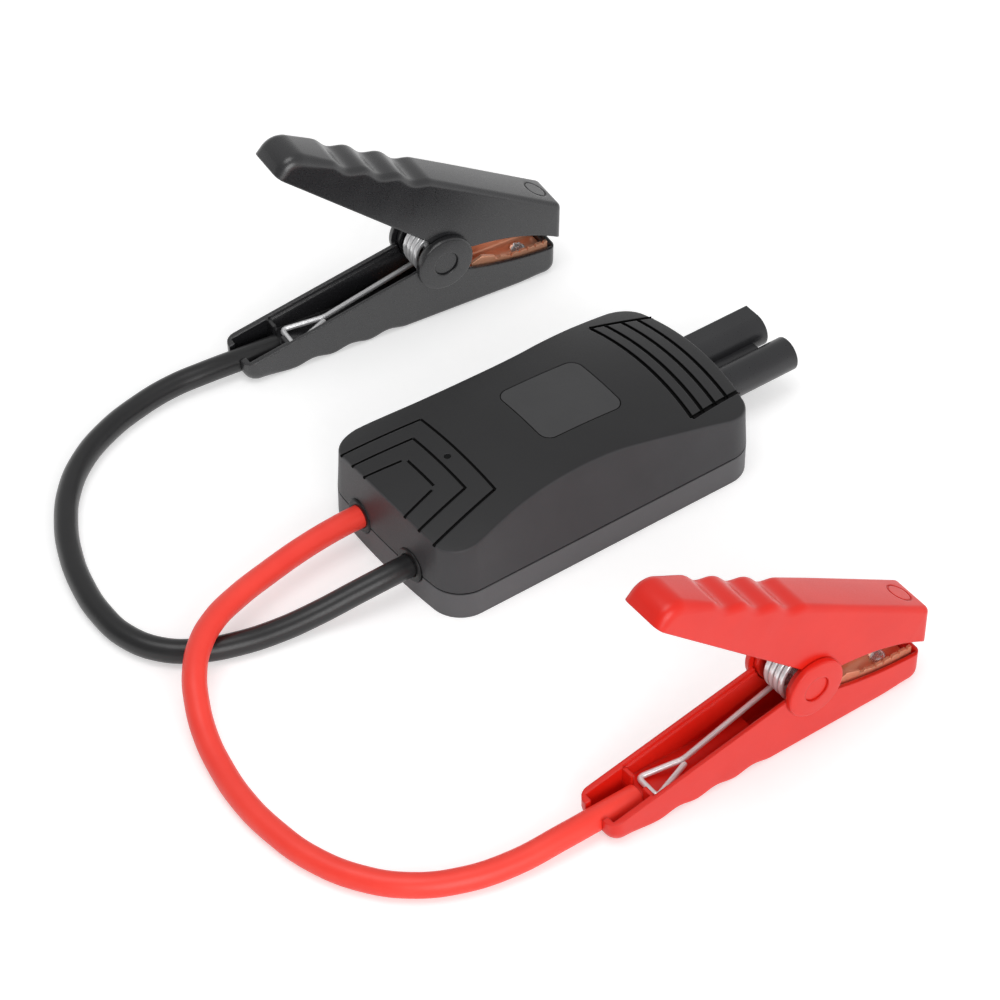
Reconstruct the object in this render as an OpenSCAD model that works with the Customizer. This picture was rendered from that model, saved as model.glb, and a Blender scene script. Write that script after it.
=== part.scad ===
// Clamp lead of a car jump starter: a control box with a twin-barrel plug,
// a red and a black cable, and a spring clamp on each.
// Millimetres, +Z up. The origin is on the ground under the middle of the box, and +X points to the plug.

/* [Control box] */
// Length of the box, over both bows if they were alike
box_l = 95; // [90:0.5:100]
// Width of the box
box_w = 54; // [50:0.5:58]
// Height of the lower case, which ends at the parting line
lower_h = 8; // [7.5:0.25:9.5]
// Height of the top at its highest point
top_h = 27; // [25.5:0.25:29]
// Corner radius of the box seen from above
corner_r = 8.5; // [7:0.25:10]
// How far the cable end bows out at its middle
end_bow = 1.8; // [1:0.1:2.5]
// How far the plug end bows out at its middle
plug_bow = 3.6; // [2.5:0.1:4.2]
// Radius of the top's arch along the box
arch_r = 225; // [205:5:280]
// Radius of the top's crown across the box
crown_r = 100; // [80:2:110]
// Place of the top of the arch along the box
arch_x = -6; // [-10:0.5:2]
// Radius of the scooped flanks along the box
scoop_r = 275; // [240:5:340]
// Lean of the scooped flanks from upright
scoop_lean = 19.5; // [17:0.5:22]
// Wall of both case halves
case_wall = 2; // [1.6:0.1:2.4]
// Depth of the grooves in the top
groove_d = 0.6; // [0.3:0.05:0.9]
// Width of the grooves in the top
groove_w = 0.9; // [0.5:0.05:1.2]
// Length of the label plate
label_l = 24; // [18:0.5:26]
// Width of the label plate
label_w = 20.5; // [16:0.5:24]
// Diameter of the status light's hole
light_d = 1.6; // [1.2:0.1:2.4]

/* [Plug] */
// Diameter of each barrel
barrel_d = 9; // [8.4:0.1:9.6]
// Distance between the barrels
barrel_pitch = 12; // [11:0.1:13]
// How far the barrels stand out of the box
barrel_l = 23.7; // [20:0.1:28]
// Height of the barrels' axes
plug_z = 10.2; // [9.8:0.1:11]
// Bore of each contact
contact_d = 5; // [4:0.1:5.4]

/* [Cables] */
// Outer diameter of each cable
cable_d = 6; // [5:0.1:6.4]
// Diameter of the copper core
core_d = 2; // [1.6:0.1:2.2]
// Distance of each cable from the middle of the box
cable_y = 10.5; // [9:0.25:12]
// Height at which the cables leave the box
cable_z = 8.5; // [8:0.25:9.5]

/* [Clamps] */
// Width of a lower shell
jaw_w = 13.5; // [12.5:0.25:16]
// Wall of a shell
jaw_wall = 1.5; // [1.2:0.1:1.8]
// Height of the pivot
pivot_z = 18; // [17:0.25:20]
// Length of the lower handle behind the pivot
lower_handle_l = 57.5; // [54:0.5:64]
// Length of the lower nose in front of the pivot
lower_nose_l = 34; // [32:0.5:37]
// Length of the upper handle behind the pivot
upper_handle_l = 63; // [58:0.5:68]
// Length of the upper nose in front of the pivot
upper_nose_l = 34.2; // [32:0.1:36]
// Height of the upper shell's back over the pivot
upper_h = 21.5; // [20.5:0.25:24]
// Angle between the handles while the jaws are closed
rest_angle = 31.5; // [30:0.5:35]
// Radius of the pivot discs
ear_r = 7.9; // [7.6:0.1:9]
// Thickness of the pivot discs
ear_t = 1.6; // [1.4:0.1:2.2]
// Diameter of the pivot pin
pin_d = 4; // [3:0.1:4.6]
// Diameter of the spring wire
wire_d = 1.2; // [1:0.05:1.2]
// Mean diameter of the spring's coil
coil_d = 12; // [10.5:0.25:12.5]
// Distance from turn to turn in the coil
coil_pitch = 1.7; // [1.65:0.05:1.9]
// Full turns in the coil
coil_turns = 4; // [3:1:4]
// Depth of the finger scallops
scallop_d = 1.2; // [0.6:0.1:1.5]
// Sheet thickness of the copper contacts
contact_t = 0.8; // [0.6:0.1:1]

/* [Hidden] */
$fn = 64;

case_grey = "#39393c";
label_grey = "#47474b";
plug_black = "#2c2c2e";
rubber_black = "#1f1f21";
red_plastic = "#d8281f";
black_plastic = "#2f2f31";
steel = "#c4c6c8";
copper = "#c8703f";
board_green = "#1f5c3a";
lamp_clear = "#dfe8e0";

// Clearances: parts that slip together, the pivot's running fit, and bodies that pass each other
slip = 0.1;
run_gap = 0.05;
pass_gap = 0.3;
eps = 0.01;

// Box outline: bowed ends that run into round corners
half_l = box_l / 2;
half_w = box_w / 2;
side_x = half_l - end_bow;
plug_end = side_x + plug_bow;
corner_y = half_w - corner_r;
tall = 2 * top_h;
function bow_r(bow) = (half_w * half_w + bow * bow) / (2 * bow);
function bow_x(bow) = side_x + bow - bow_r(bow);
function corner_x(bow) = bow_x(bow) + sqrt(pow(bow_r(bow) - corner_r, 2) - corner_y * corner_y);

// Scooped flanks are deepest here
scoop_x = 0;

// Where an end wall's outer face stands at a distance y from the middle
function end_x(y, bow) = bow_x(bow) + sqrt(pow(bow_r(bow), 2) - y * y);

// Outline of the case seen from above, drawn in by inset
module case_outline(inset = 0) {
    tangent_y = (bow_r(end_bow) - inset) * corner_y / (bow_r(end_bow) - corner_r);
    corners = [-corner_x(end_bow), corner_x(plug_bow)];
    translate([corners[0], inset - half_w]) square([corners[1] - corners[0], 2 * (half_w - inset)]);
    for (x = corners, s = [-1, 1])
        translate([x, s * corner_y])
            circle(corner_r - inset);
    intersection() {
        translate([bow_x(plug_bow), 0]) circle(bow_r(plug_bow) - inset, $fn = 256);
        translate([-bow_x(end_bow), 0]) circle(bow_r(end_bow) - inset, $fn = 256);
        square([2 * box_l, 2 * tangent_y], center = true);
    }
}

// Solid under the arched and crowned top, lowered by drop
module under_top(drop = 0) {
    translate([arch_x, 0, top_h - arch_r])
        rotate([90, 0, 0])
            rotate([0, 0, 60])
                rotate_extrude(angle = 60, $fn = 720)
                    intersection() {
                        translate([arch_r - crown_r, 0]) rotate(180) circle(crown_r - drop, $fn = 256);
                        translate([arch_r - tall, -box_w]) square([tall, 2 * box_w]);
                    }
}

// Everything outside a scooped flank, moved inward by inset
module scoop(inset = 0) {
    translate([scoop_x, -half_w, lower_h])
        rotate([-scoop_lean, 0, 0])
            translate([0, inset - scoop_r, 0])
                cylinder(r = scoop_r, h = 4 * tall, center = true, $fn = 256);
}

// The upper case as a full block, drawn in all round by inset
module upper_block(inset = 0) {
    difference() {
        intersection() {
            translate([0, 0, lower_h])
                linear_extrude(tall)
                    case_outline(inset);
            under_top(inset);
        }
        scoop(inset);
        mirror([0, 1, 0]) scoop(inset);
    }
}

// Cuts a flat pattern into the top, to a depth
module engrave(depth) {
    difference() {
        translate([0, 0, lower_h + case_wall])
            linear_extrude(tall)
                children();
        under_top(depth);
    }
}

// Nested grooves at the cable end: each has its tip, half-width at the tip and half-width at the end
chevrons = [[-25.5, 15.3, 19.5], [-31, 10.8, 14], [-36.5, 6.3, 8.6]];
chevron_break = 2;

// One groove from a to b, widened by half its width at both ends
module stroke(a, b) {
    d = (b - a) / norm(b - a);
    n = [-d.y, d.x] * groove_w / 2;
    h = d * groove_w / 2;
    polygon([a - h - n, b + h - n, b + h + n, a - h + n]);
}

module chevron_grooves() {
    for (i = [0:len(chevrons) - 1]) {
        tip = chevrons[i].x;
        tip_y = chevrons[i].y;
        end_y = chevrons[i].z;
        cut = i == len(chevrons) - 1 ? chevron_break : 0;
        stroke([tip, cut / 2 - tip_y], [tip, tip_y - cut / 2]);
        for (s = [-1, 1])
            stroke([-half_l, s * end_y], [tip - cut / 2, s * tip_y]);
    }
}

// Arched grooves at the plug end, with the line that joins their ends on each side
rib_x = [31.6, 35.5, 40, 44.3];
rib_r = 165;
rib_y = 20.5;
rib_slope = 0.2;

module plug_end_grooves() {
    sag = rib_r - sqrt(rib_r * rib_r - rib_y * rib_y);
    side = [for (x = [rib_x[0] - sag, plug_end + 1]) [x, rib_y - rib_slope * (x - rib_x[0])]];
    intersection() {
        union() for (x = rib_x)
            translate([x - rib_r, 0])
                difference() {
                    circle(rib_r + groove_w / 2, $fn = 256);
                    circle(rib_r - groove_w / 2, $fn = 256);
                }
        polygon([side[0], side[1], [side[1].x, -side[1].y], [side[0].x, -side[0].y]]);
    }
    for (s = [-1, 1])
        stroke([side[0].x, s * side[0].y], [side[1].x, s * side[1].y]);
}

// Label plate: a thin plate with round corners in a shallow seat
label_x = 5.5;
label_r = 3;
label_t = 0.6;

module label_outline(grow = 0) {
    flat_l = label_l - 2 * label_r;
    flat_w = label_w - 2 * label_r;
    translate([label_x, 0]) {
        square([flat_l, label_w + 2 * grow], center = true);
        square([label_l + 2 * grow, flat_w], center = true);
        for (sx = [-1, 1], sy = [-1, 1])
            translate([sx * flat_l / 2, sy * flat_w / 2])
                circle(label_r + grow);
    }
}

// Status light: a pipe in the roof over a lamp on the board
light_x = -28.5;
pipe_r = 1.6;

// Case screws stand in the corners' centres
screw_r = 1.2;
screw_head_r = 2.4;
screw_head_h = 1.8;
screw_l = 14;
boss_r = 3.4;

module at_screws() {
    for (x = [-corner_x(end_bow), corner_x(plug_bow)], s = [-1, 1])
        translate([x, s * corner_y, 0])
            children();
}

// Circuit board on four posts
board_t = 1.6;
board_z = 5.6;
board_top = board_z + board_t;
board_l = 62;
board_w = 40;
post_x = 25;
post_y = 16;
post_r = 2.4;
peg_r = 1.1;

module at_posts() {
    for (sx = [-1, 1], sy = [-1, 1])
        translate([sx * post_x, sy * post_y, 0])
            children();
}

// Cable grommets in the cable end's wall
cable_r = cable_d / 2;
grommet_r = cable_r + 1.7;
neck_r = cable_r + 1;
grommet_out = 1;
grommet_seat = 0.2 - end_x(cable_y + grommet_r, end_bow);
grommet_in = grommet_seat + case_wall;
cable_in = 4;

module along_x(x0, x1, r) {
    translate([x0, 0, 0])
        rotate([0, 90, 0])
            cylinder(r = r, h = x1 - x0);
}

// The seat of one grommet, cut from both case halves
module grommet_hole(y) {
    translate([0, y, cable_z]) {
        along_x(-box_l, grommet_seat, grommet_r);
        along_x(grommet_seat - eps, grommet_in + eps, neck_r);
    }
}

// Plug: a base block through the end wall, with a collar outside and a flange inside
barrel_r = barrel_d / 2;
block_y = barrel_pitch / 2 + barrel_r;
collar = 0.7;
collar_l = 1.7;
flange = 1.6;
flange_t = 2;
plug_tip = plug_end + barrel_l;
wall_in = end_x(block_y + flange, plug_bow) - case_wall - slip;

module plug_block(x0, x1, grow) {
    translate([x0, -block_y - grow, plug_z - barrel_r - grow])
        cube([x1 - x0, 2 * (block_y + grow), 2 * (barrel_r + grow)]);
}

// Contacts inside the barrels
contact_r = contact_d / 2;
sleeve_r = contact_r + 0.7;
contact_mouth = 2;
contact_depth = 14;
contact_back = wall_in - 6;
strap_t = 0.8;
strap_w = 4.4;

// Shadow line where the case halves meet
seam_h = 0.4;
seam_d = 0.5;

module seam_groove() {
    difference() {
        translate([0, 0, lower_h - seam_h]) linear_extrude(1) square(2 * box_l, center = true);
        linear_extrude(tall) case_outline(seam_d);
    }
}

module lower_case() {
    color(case_grey) difference() {
        union() {
            difference() {
                linear_extrude(lower_h) case_outline();
                translate([0, 0, case_wall]) linear_extrude(lower_h) case_outline(case_wall);
            }
            intersection() {
                union() {
                    at_screws() cylinder(r = boss_r, h = lower_h);
                    at_posts() cylinder(r = post_r, h = board_z);
                    at_posts() cylinder(r = peg_r, h = board_top);
                }
                linear_extrude(lower_h) case_outline(case_wall / 2);
            }
        }
        at_screws() translate([0, 0, -eps]) cylinder(r = screw_r + slip, h = lower_h + 1);
        at_screws() translate([0, 0, -eps]) cylinder(r = screw_head_r + slip, h = screw_head_h + slip);
        for (s = [-1, 1]) grommet_hole(s * cable_y);
        plug_block(wall_in - flange_t - slip, box_l, slip);
        seam_groove();
    }
}

module upper_case() {
    color(case_grey) difference() {
        upper_block();
        difference() {
            translate([0, 0, -eps]) upper_block(case_wall);
            at_screws() cylinder(r = boss_r, h = tall);
        }
        at_screws() cylinder(r = screw_r, h = screw_head_h + screw_l + 0.5);
        for (s = [-1, 1]) grommet_hole(s * cable_y);
        plug_block(wall_in - flange_t - slip, box_l, slip);
        engrave(groove_d) chevron_grooves();
        engrave(groove_d) plug_end_grooves();
        engrave(label_t) label_outline(slip);
        translate([light_x, 0, 0]) cylinder(r = light_d / 2 + slip, h = tall);
    }
}

module case_screws() {
    color(steel) at_screws() {
        cylinder(r = screw_head_r, h = screw_head_h);
        cylinder(r = screw_r - slip / 2, h = screw_head_h + screw_l);
    }
}

module circuit_board() {
    color(board_green) difference() {
        translate([-board_l / 2, -board_w / 2, board_z]) cube([board_l, board_w, board_t]);
        at_posts() cylinder(r = peg_r + slip, h = lower_h + board_top);
    }
}

// Power relay and smoothing capacitor on the board
relay_size = [19, 15.5, 12];
relay_x = 10;
capacitor_r = 4;
capacitor_h = 11;
capacitor_x = -10;

module relay() {
    color(plug_black)
        translate([relay_x - relay_size.x / 2, -relay_size.y / 2, board_top])
            cube(relay_size);
}

module capacitor() {
    color(black_plastic)
        translate([capacitor_x, 0, board_top])
            cylinder(r = capacitor_r, h = capacitor_h);
}

led_r = 1.4;
led_h = 2 * led_r + 0.2;

module indicator_led() {
    color(lamp_clear) translate([light_x, 0, board_top]) {
        cylinder(r = led_r, h = led_h - led_r);
        translate([0, 0, led_h - led_r]) sphere(led_r);
    }
}

// The pipe stands on the lamp and ends just under the top
module light_pipe() {
    roof = top_h - case_wall - pow(light_x - arch_x, 2) / (2 * arch_r);
    color(lamp_clear) intersection() {
        translate([light_x, 0, board_top + led_h]) {
            cylinder(r = pipe_r, h = roof - 0.5 - board_top - led_h);
            cylinder(r = light_d / 2, h = tall);
        }
        under_top(slip);
    }
}

module label_plate() {
    color(label_grey) intersection() {
        engrave(label_t) label_outline();
        under_top();
    }
}

module plug_housing() {
    color(plug_black) difference() {
        union() {
            plug_block(wall_in - flange_t, wall_in, flange - slip);
            plug_block(wall_in - eps, plug_end, 0);
            plug_block(plug_end - eps, plug_end + collar_l, collar);
            for (s = [-1, 1])
                translate([0, s * barrel_pitch / 2, plug_z])
                    along_x(plug_end, plug_tip, barrel_r);
            translate([plug_end, barrel_pitch / 2, plug_z])
                cube([barrel_l, barrel_r, barrel_r]);
        }
        for (s = [-1, 1])
            translate([0, s * barrel_pitch / 2, plug_z])
                along_x(wall_in - flange_t - eps, plug_tip + eps, sleeve_r + slip);
    }
}

// Each contact is a sleeve in its barrel, with a solid tail cut flat to lie on its strap
module plug_contacts() {
    color(copper) for (s = [-1, 1])
        translate([0, s * barrel_pitch / 2, plug_z])
            difference() {
                along_x(contact_back, plug_tip - contact_mouth, sleeve_r);
                along_x(plug_tip - contact_mouth - contact_depth, plug_tip, contact_r);
                translate([contact_back - eps, -sleeve_r, board_top + strap_t - plug_z - 2 * sleeve_r])
                    cube([wall_in - flange_t - contact_back, 2 * sleeve_r, 2 * sleeve_r]);
            }
}

// Straps join the contacts to the board
module bus_bars() {
    color(copper) for (s = [-1, 1])
        translate([board_l / 2 - 6, s * barrel_pitch / 2 - strap_w / 2, board_top])
            cube([wall_in - flange_t - 0.5 - board_l / 2 + 6, strap_w, strap_t]);
}

module grommet(y) {
    translate([0, y, cable_z]) difference() {
        union() {
            along_x(grommet_seat - grommet_out, grommet_seat, grommet_r - slip);
            along_x(grommet_seat - eps, grommet_in + 1, neck_r - slip);
        }
        along_x(-box_l, 0, cable_r + slip / 2);
    }
}

module red_grommet() {
    color(rubber_black) grommet(cable_y);
}

module black_grommet() {
    color(rubber_black) grommet(-cable_y);
}

// Each cable's core ends in a lug: a barrel on the core and a tongue on the board
lug_r = 2;
lug_l = 6;
tongue_w = 5;

module lead_lug(y) {
    lug_x = grommet_in + cable_in;
    translate([0, y, cable_z]) along_x(lug_x, -board_l / 2 - slip, lug_r);
    translate([-board_l / 2 - 2, y - tongue_w / 2, board_top]) cube([lug_l + 2, tongue_w, strap_t]);
}

module red_lead_lug() {
    color(copper) lead_lug(cable_y);
}

module black_lead_lug() {
    color(copper) lead_lug(-cable_y);
}

// Clamp frame: origin on the ground under the pivot, +X to the nose
red_place = [-1.2, -98.4, 0];
black_place = [19.5, 74.3, 0];
red_yaw = 0;
black_yaw = -6;

module red_clamp() {
    translate(red_place) rotate([0, 0, red_yaw]) children();
}

module black_clamp() {
    translate(black_place) rotate([0, 0, black_yaw]) children();
}

// The upper jaw's frame: origin at the pivot, +X along its back to the nose
module upper_jaw() {
    translate([0, 0, pivot_z]) rotate([0, rest_angle, 0]) children();
}

function arc(c, r, a0, a1, n = 6) = [
    for (i = [0:n]) let (a = a0 + (a1 - a0) * i / n) c + r * [cos(a), sin(a)]
];

// Outline of a box with round corners, from its low to its high corner, with radius q on the low side
function round_box(lo, hi, r, q) = concat(
    arc([hi.x - r, hi.y - r], r, 0, 90),
    arc([lo.x + q, hi.y - q], q, 90, 180),
    arc([lo.x + q, lo.y + q], q, 180, 270),
    arc([hi.x - r, lo.y + r], r, 270, 360)
);

// Side outline swept across the width, and cross-section swept along the length
module across(w) {
    rotate([90, 0, 0]) linear_extrude(w, center = true) children();
}

module along(l) {
    rotate([90, 0, 90]) linear_extrude(2 * l, center = true) children();
}

// Shell widths: the upper cheeks turn inside the lower shell's pivot discs
upper_w = jaw_w - 0.5;
ear_in = jaw_w / 2 + 0.05;
ear_out = ear_in + ear_t;
lug_ring = 6.5;
lower_in = jaw_w / 2 - jaw_wall;
upper_in = upper_w / 2 - jaw_wall;
edge_r = 2;
end_r = 2.4;
handle_r = 3.8;
foot_r = 3;
keel_r = 1.4;

// Lower shell: rim heights, floors and the cable's way in
rim_end = 6.5;
rim_slope = 0.21;
nose_rim = 8.3;
rim_curve = 0.0052;
nose_round = 3;
entry_floor = 1;
entry_l = 12;
shelf_u = entry_l - lower_handle_l;
shelf_end = -11;
shelf_z = 4.6;
stop_t = 1;
stop_h = 4;
stop_gap = 2.2;
step_w = 0.5;
step_d = 1.2;
well_floor = 1.2;
nose_u = 9;
nose_floor = 5.2;
lead_z = entry_floor + cable_r;
core_z = 2.9;
scallop_r = 9.5;
scallop_pitch = 11;
lower_scallop = -27.3;
upper_scallop = -33.3;

module scallops(middle, level, side) {
    for (i = [-1:1])
        translate([middle + i * scallop_pitch, level + side * (scallop_r - scallop_d)])
            circle(scallop_r);
}

function rim_z(u) = nose_rim + rim_curve * pow(lower_nose_l - u, 2);
function handle_rim(u) = rim_end + rim_slope * (lower_handle_l + u);

module lower_side() {
    difference() {
        polygon(concat(
            arc([foot_r - lower_handle_l, foot_r], foot_r, 180, 270),
            arc([lower_nose_l - nose_round, nose_round], nose_round, 270, 360),
            [for (i = [0:6]) let (u = lower_nose_l + (nose_u - lower_nose_l) * i / 6) [u, rim_z(u)]],
            [[-lug_ring, handle_rim(-lug_ring)], [-lower_handle_l, rim_end]]
        ));
        translate([0, pivot_z]) circle(lug_ring + pass_gap);
        scallops(lower_scallop, 0, -1);
    }
}

module lower_shell() {
    box_lo = [-lower_handle_l, -jaw_w / 2];
    box_hi = [lower_nose_l, jaw_w / 2];
    difference() {
        union() {
            intersection() {
                across(jaw_w) lower_side();
                linear_extrude(2 * pivot_z) polygon(round_box(box_lo, box_hi, end_r, handle_r));
                along(box_l) polygon(round_box([-jaw_w / 2, 0], [jaw_w / 2, 3 * pivot_z], keel_r, keel_r));
            }
            pivot_discs();
        }
        difference() {
            shell_hollows();
            shelf_stops();
        }
        rim_step();
        translate([0, 0, lead_z]) along_x(-2 * lower_handle_l, shelf_u, cable_r + slip);
        translate([0, 0, core_z]) along_x(shelf_u - eps, shelf_end + eps, core_d / 2 + slip);
        translate([-lower_handle_l - 1, -cable_r - slip, lead_z])
            cube([jaw_wall + 2, 2 * (cable_r + slip), pivot_z]);
        pin_holes(pin_d / 2 + run_gap / 2);
        translate([lower_screw_u, 0, -eps]) cylinder(r = jaw_screw_r + slip / 2, h = nose_floor + 1);
    }
}

// Discs outside the cheeks, joined to the wall below the rim
module pivot_discs() {
    for (s = [-1, 1])
        translate([0, s * (ear_in + ear_out) / 2, 0])
            across(ear_t) translate([0, pivot_z]) circle(ear_r);
    across(2 * ear_in + eps) intersection() {
        translate([0, pivot_z]) circle(ear_r);
        lower_side();
    }
}

// Hollows of the lower shell, from the cable's entry to the nose
module shell_hollows() {
    steps = [
        [jaw_wall - lower_handle_l, shelf_u, entry_floor],
        [shelf_u - eps, shelf_end, shelf_z],
        [shelf_end - eps, nose_u, well_floor],
        [nose_u - eps, lower_nose_l - jaw_wall, nose_floor]
    ];
    for (h = steps)
        translate([h[0], -lower_in, h[2]])
            cube([h[1] - h[0], 2 * lower_in, 2 * pivot_z]);
}

// The wall is thinner along its rim, inside
module rim_step() {
    nose = lower_nose_l - jaw_wall;
    across(2 * (lower_in + step_w)) polygon(concat(
        [for (i = [0:6]) let (u = nose + (nose_u - nose) * i / 6) [u, rim_z(u) - step_d]],
        [for (u = [-lug_ring, shelf_u]) [u, handle_rim(u) - step_d]],
        [[shelf_u, 2 * pivot_z], [nose, 2 * pivot_z]]
    ));
}

// Short ribs across the front of the shelf, on both sides of the cable
module shelf_stops() {
    for (s = [-1, 1])
        translate([shelf_u, s * (stop_gap + lower_in) / 2, shelf_z])
            translate([0, -(lower_in - stop_gap) / 2, 0])
                cube([stop_t, lower_in - stop_gap, stop_h]);
}

module pin_holes(r) {
    translate([0, 0, pivot_z]) rotate([90, 0, 0]) {
        cylinder(r = r, h = 4 * jaw_w, center = true);
        for (s = [0, 1]) mirror([0, 0, s])
            translate([0, 0, ear_out - cap_seat]) cylinder(r = cap_r + slip / 2, h = jaw_w);
    }
}

// Pivot: a steel pin with a cap sunk in each disc
cap_r = 3.4;
cap_seat = 0.9;
cap_t = 0.45;

module pivot_pin() {
    translate([0, 0, pivot_z]) rotate([90, 0, 0])
        cylinder(r = pin_d / 2, h = 2 * (ear_out - cap_seat), center = true);
}

module pivot_caps() {
    translate([0, 0, pivot_z]) rotate([90, 0, 0])
        for (s = [0, 1]) mirror([0, 0, s])
            translate([0, 0, ear_out - cap_seat]) cylinder(r = cap_r, h = cap_t);
}

// Upper shell: an inverted trough with the jaw's edge, the pivot lug and the tapering handle
nose_lean = 4.6;
nose_edge_h = 12.3;
jaw_edge_curve = 0.0095;
handle_edge_h = 13.8;
handle_foot = [-5.2, 3.9];
back_r = 7;
back_t = 4;
roof_t = 2;
nose_roof_t = 4;
mark_s = 23.5;
mark_r = 3.3;
mark_w = 0.5;
mark_d = 0.35;

function jaw_edge(s) = nose_edge_h - jaw_edge_curve * pow(upper_nose_l - s, 2);

module upper_side() {
    front_a = atan2(nose_lean, upper_h - nose_edge_h);
    difference() {
        polygon(concat(
            arc([upper_nose_l - nose_lean - edge_r, upper_h - edge_r], edge_r, 90, front_a, 4),
            [for (i = [0:7]) let (s = upper_nose_l + (7 - upper_nose_l) * i / 7) [s, jaw_edge(s)]],
            [handle_foot, [-upper_handle_l, handle_edge_h]],
            arc([back_r - upper_handle_l, upper_h - back_r], back_r, 170, 90, 5)
        ));
        scallops(upper_scallop, upper_h, 1);
    }
}

module upper_shell() {
    box_lo = [-upper_handle_l, -upper_w / 2];
    box_hi = [upper_nose_l, upper_w / 2];
    upper_jaw() difference() {
        intersection() {
            union() {
                across(upper_w) upper_side();
                across(upper_w) circle(lug_ring);
            }
            translate([0, 0, -upper_h])
                linear_extrude(3 * upper_h) polygon(round_box(box_lo, box_hi, end_r, handle_r));
            along(box_l)
                polygon(round_box([-upper_w / 2, -2 * upper_h], [upper_w / 2, upper_h], edge_r, edge_r));
        }
        translate([back_t - upper_handle_l, -upper_in, -upper_h])
            cube([upper_handle_l - back_t + nose_u, 2 * upper_in, 2 * upper_h - roof_t]);
        translate([0, -upper_in, -upper_h])
            cube([upper_nose_l - nose_lean - roof_t, 2 * upper_in, 2 * upper_h - nose_roof_t]);
        rotate([90, 0, 0]) cylinder(r = pin_d / 2 + run_gap, h = 2 * jaw_w, center = true);
        translate([mark_s, 0, upper_h - mark_d]) difference() {
            cylinder(r = mark_r, h = 1);
            translate([0, 0, -eps]) cylinder(r = mark_r - mark_w, h = 2);
        }
        translate([upper_screw_u, 0, 0]) cylinder(r = jaw_screw_r + slip / 2, h = upper_h - 1);
    }
}

// Copper contacts: bent channels with toothed lips, set in both noses
contact_w = 2 * (upper_in - 0.2);
bend_r = 2.4;
lip = 1.3;
tooth_pitch = 2.4;
tooth_d = 0.8;
teeth = 5;
notch_u = lower_nose_l - 16.5;
notch_r = 1.1;
lower_screw_u = lower_nose_l - 8;
upper_screw_u = upper_nose_l - 11.2;
jaw_screw_r = 1.2;
jaw_head_r = 2;
jaw_head_h = 1.5;
crimp_r = core_z - well_floor;
crimp_u = [-10, -4];
tail_w = 3;

// A toothed lip's edge, from the nose back: height h(x) with notches cut into it
function lip_edge(nose, height) = [
    for (i = [0:teeth - 1], k = [0, 0.35, 0.5, 0.65])
        [nose - tooth_pitch * (i + k), height + (k == 0.5 ? -tooth_d : 0)]
];

// A sheet bent up along both sides, with its underside at a height
module channel(floor_z) {
    half = contact_w / 2;
    top = floor_z + 2 * upper_h;
    along(box_l) difference() {
        polygon(round_box([-half, floor_z], [half, top], bend_r, bend_r));
        polygon(round_box(
            [contact_t - half, floor_z + contact_t], [half - contact_t, top + box_l],
            bend_r - contact_t, bend_r - contact_t
        ));
    }
}

module lower_contact() {
    nose = lower_nose_l - jaw_wall - 0.2;
    back = nose_u + 0.5;
    heel = nose - teeth * tooth_pitch;
    difference() {
        union() {
            intersection() {
                channel(nose_floor);
                across(jaw_w) polygon(concat(
                    [[back, nose_floor - 1], [nose, nose_floor - 1]],
                    lip_edge(nose, nose_rim + lip),
                    [[heel, nose_rim + lip], [back + 3, rim_z(back) + lip], [back, rim_z(back)]]
                ));
            }
            translate([crimp_u[1] - contact_t, -tail_w / 2, nose_floor])
                cube([back - crimp_u[1] + 1, tail_w, contact_t]);
            translate([crimp_u[1] - contact_t, -tail_w / 2, core_z])
                cube([contact_t, tail_w, nose_floor + contact_t - core_z]);
            translate([0, 0, core_z]) along_x(crimp_u[0], crimp_u[1], crimp_r);
        }
        translate([0, 0, core_z]) along_x(crimp_u[0] - 1, crimp_u[1] + 1, core_d / 2 + slip / 2);
        translate([lower_screw_u, 0, 0]) cylinder(r = jaw_screw_r + slip, h = pivot_z);
        across(2 * jaw_w) translate([notch_u, rim_z(notch_u) + lip]) circle(notch_r);
    }
}

module lower_screw() {
    translate([lower_screw_u, 0, 0]) {
        translate([0, 0, 1]) cylinder(r = jaw_screw_r, h = nose_floor);
        translate([0, 0, nose_floor + contact_t]) cylinder(r = jaw_head_r, h = jaw_head_h);
    }
}

module upper_contact() {
    nose = upper_nose_l - nose_lean - roof_t - 0.2;
    back = nose_u + 0.5;
    roof = upper_h - nose_roof_t;
    edge = nose_edge_h - lip;
    heel = nose - teeth * tooth_pitch;
    upper_jaw() difference() {
        intersection() {
            mirror([0, 0, 1]) channel(-roof);
            across(jaw_w) polygon(concat(
                [[back, roof + 1], [nose, roof + 1]],
                [for (p = lip_edge(nose, -edge)) [p.x, -p.y]],
                [[heel, edge], [back, jaw_edge(back)]]
            ));
        }
        translate([upper_screw_u, 0, 0]) cylinder(r = jaw_screw_r + slip, h = upper_h);
    }
}

module upper_screw() {
    roof = upper_h - nose_roof_t;
    upper_jaw() translate([upper_screw_u, 0, 0]) {
        translate([0, 0, roof - contact_t - jaw_head_h]) cylinder(r = jaw_head_r, h = jaw_head_h);
        translate([0, 0, roof - contact_t]) cylinder(r = jaw_screw_r, h = nose_roof_t - 1.5 + contact_t);
    }
}

module core_wire() {
    translate([0, 0, core_z]) along_x(shelf_u, crimp_u[1], core_d / 2);
}

// Swept tubes: frames carried along a path, rings of points, and triangles between them
function unit(v) = v / norm(v);
function tangents(p) = let (n = len(p) - 1) [for (i = [0:n]) unit(p[min(i + 1, n)] - p[max(i - 1, 0)])];
function carried(n, t) = unit(n - (n * t) * t);
function normals(t, start) = [
    for (i = 0, n = carried(start, t[0]); i < len(t); i = i + 1, n = carried(n, t[min(i, len(t) - 1)])) n
];

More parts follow.
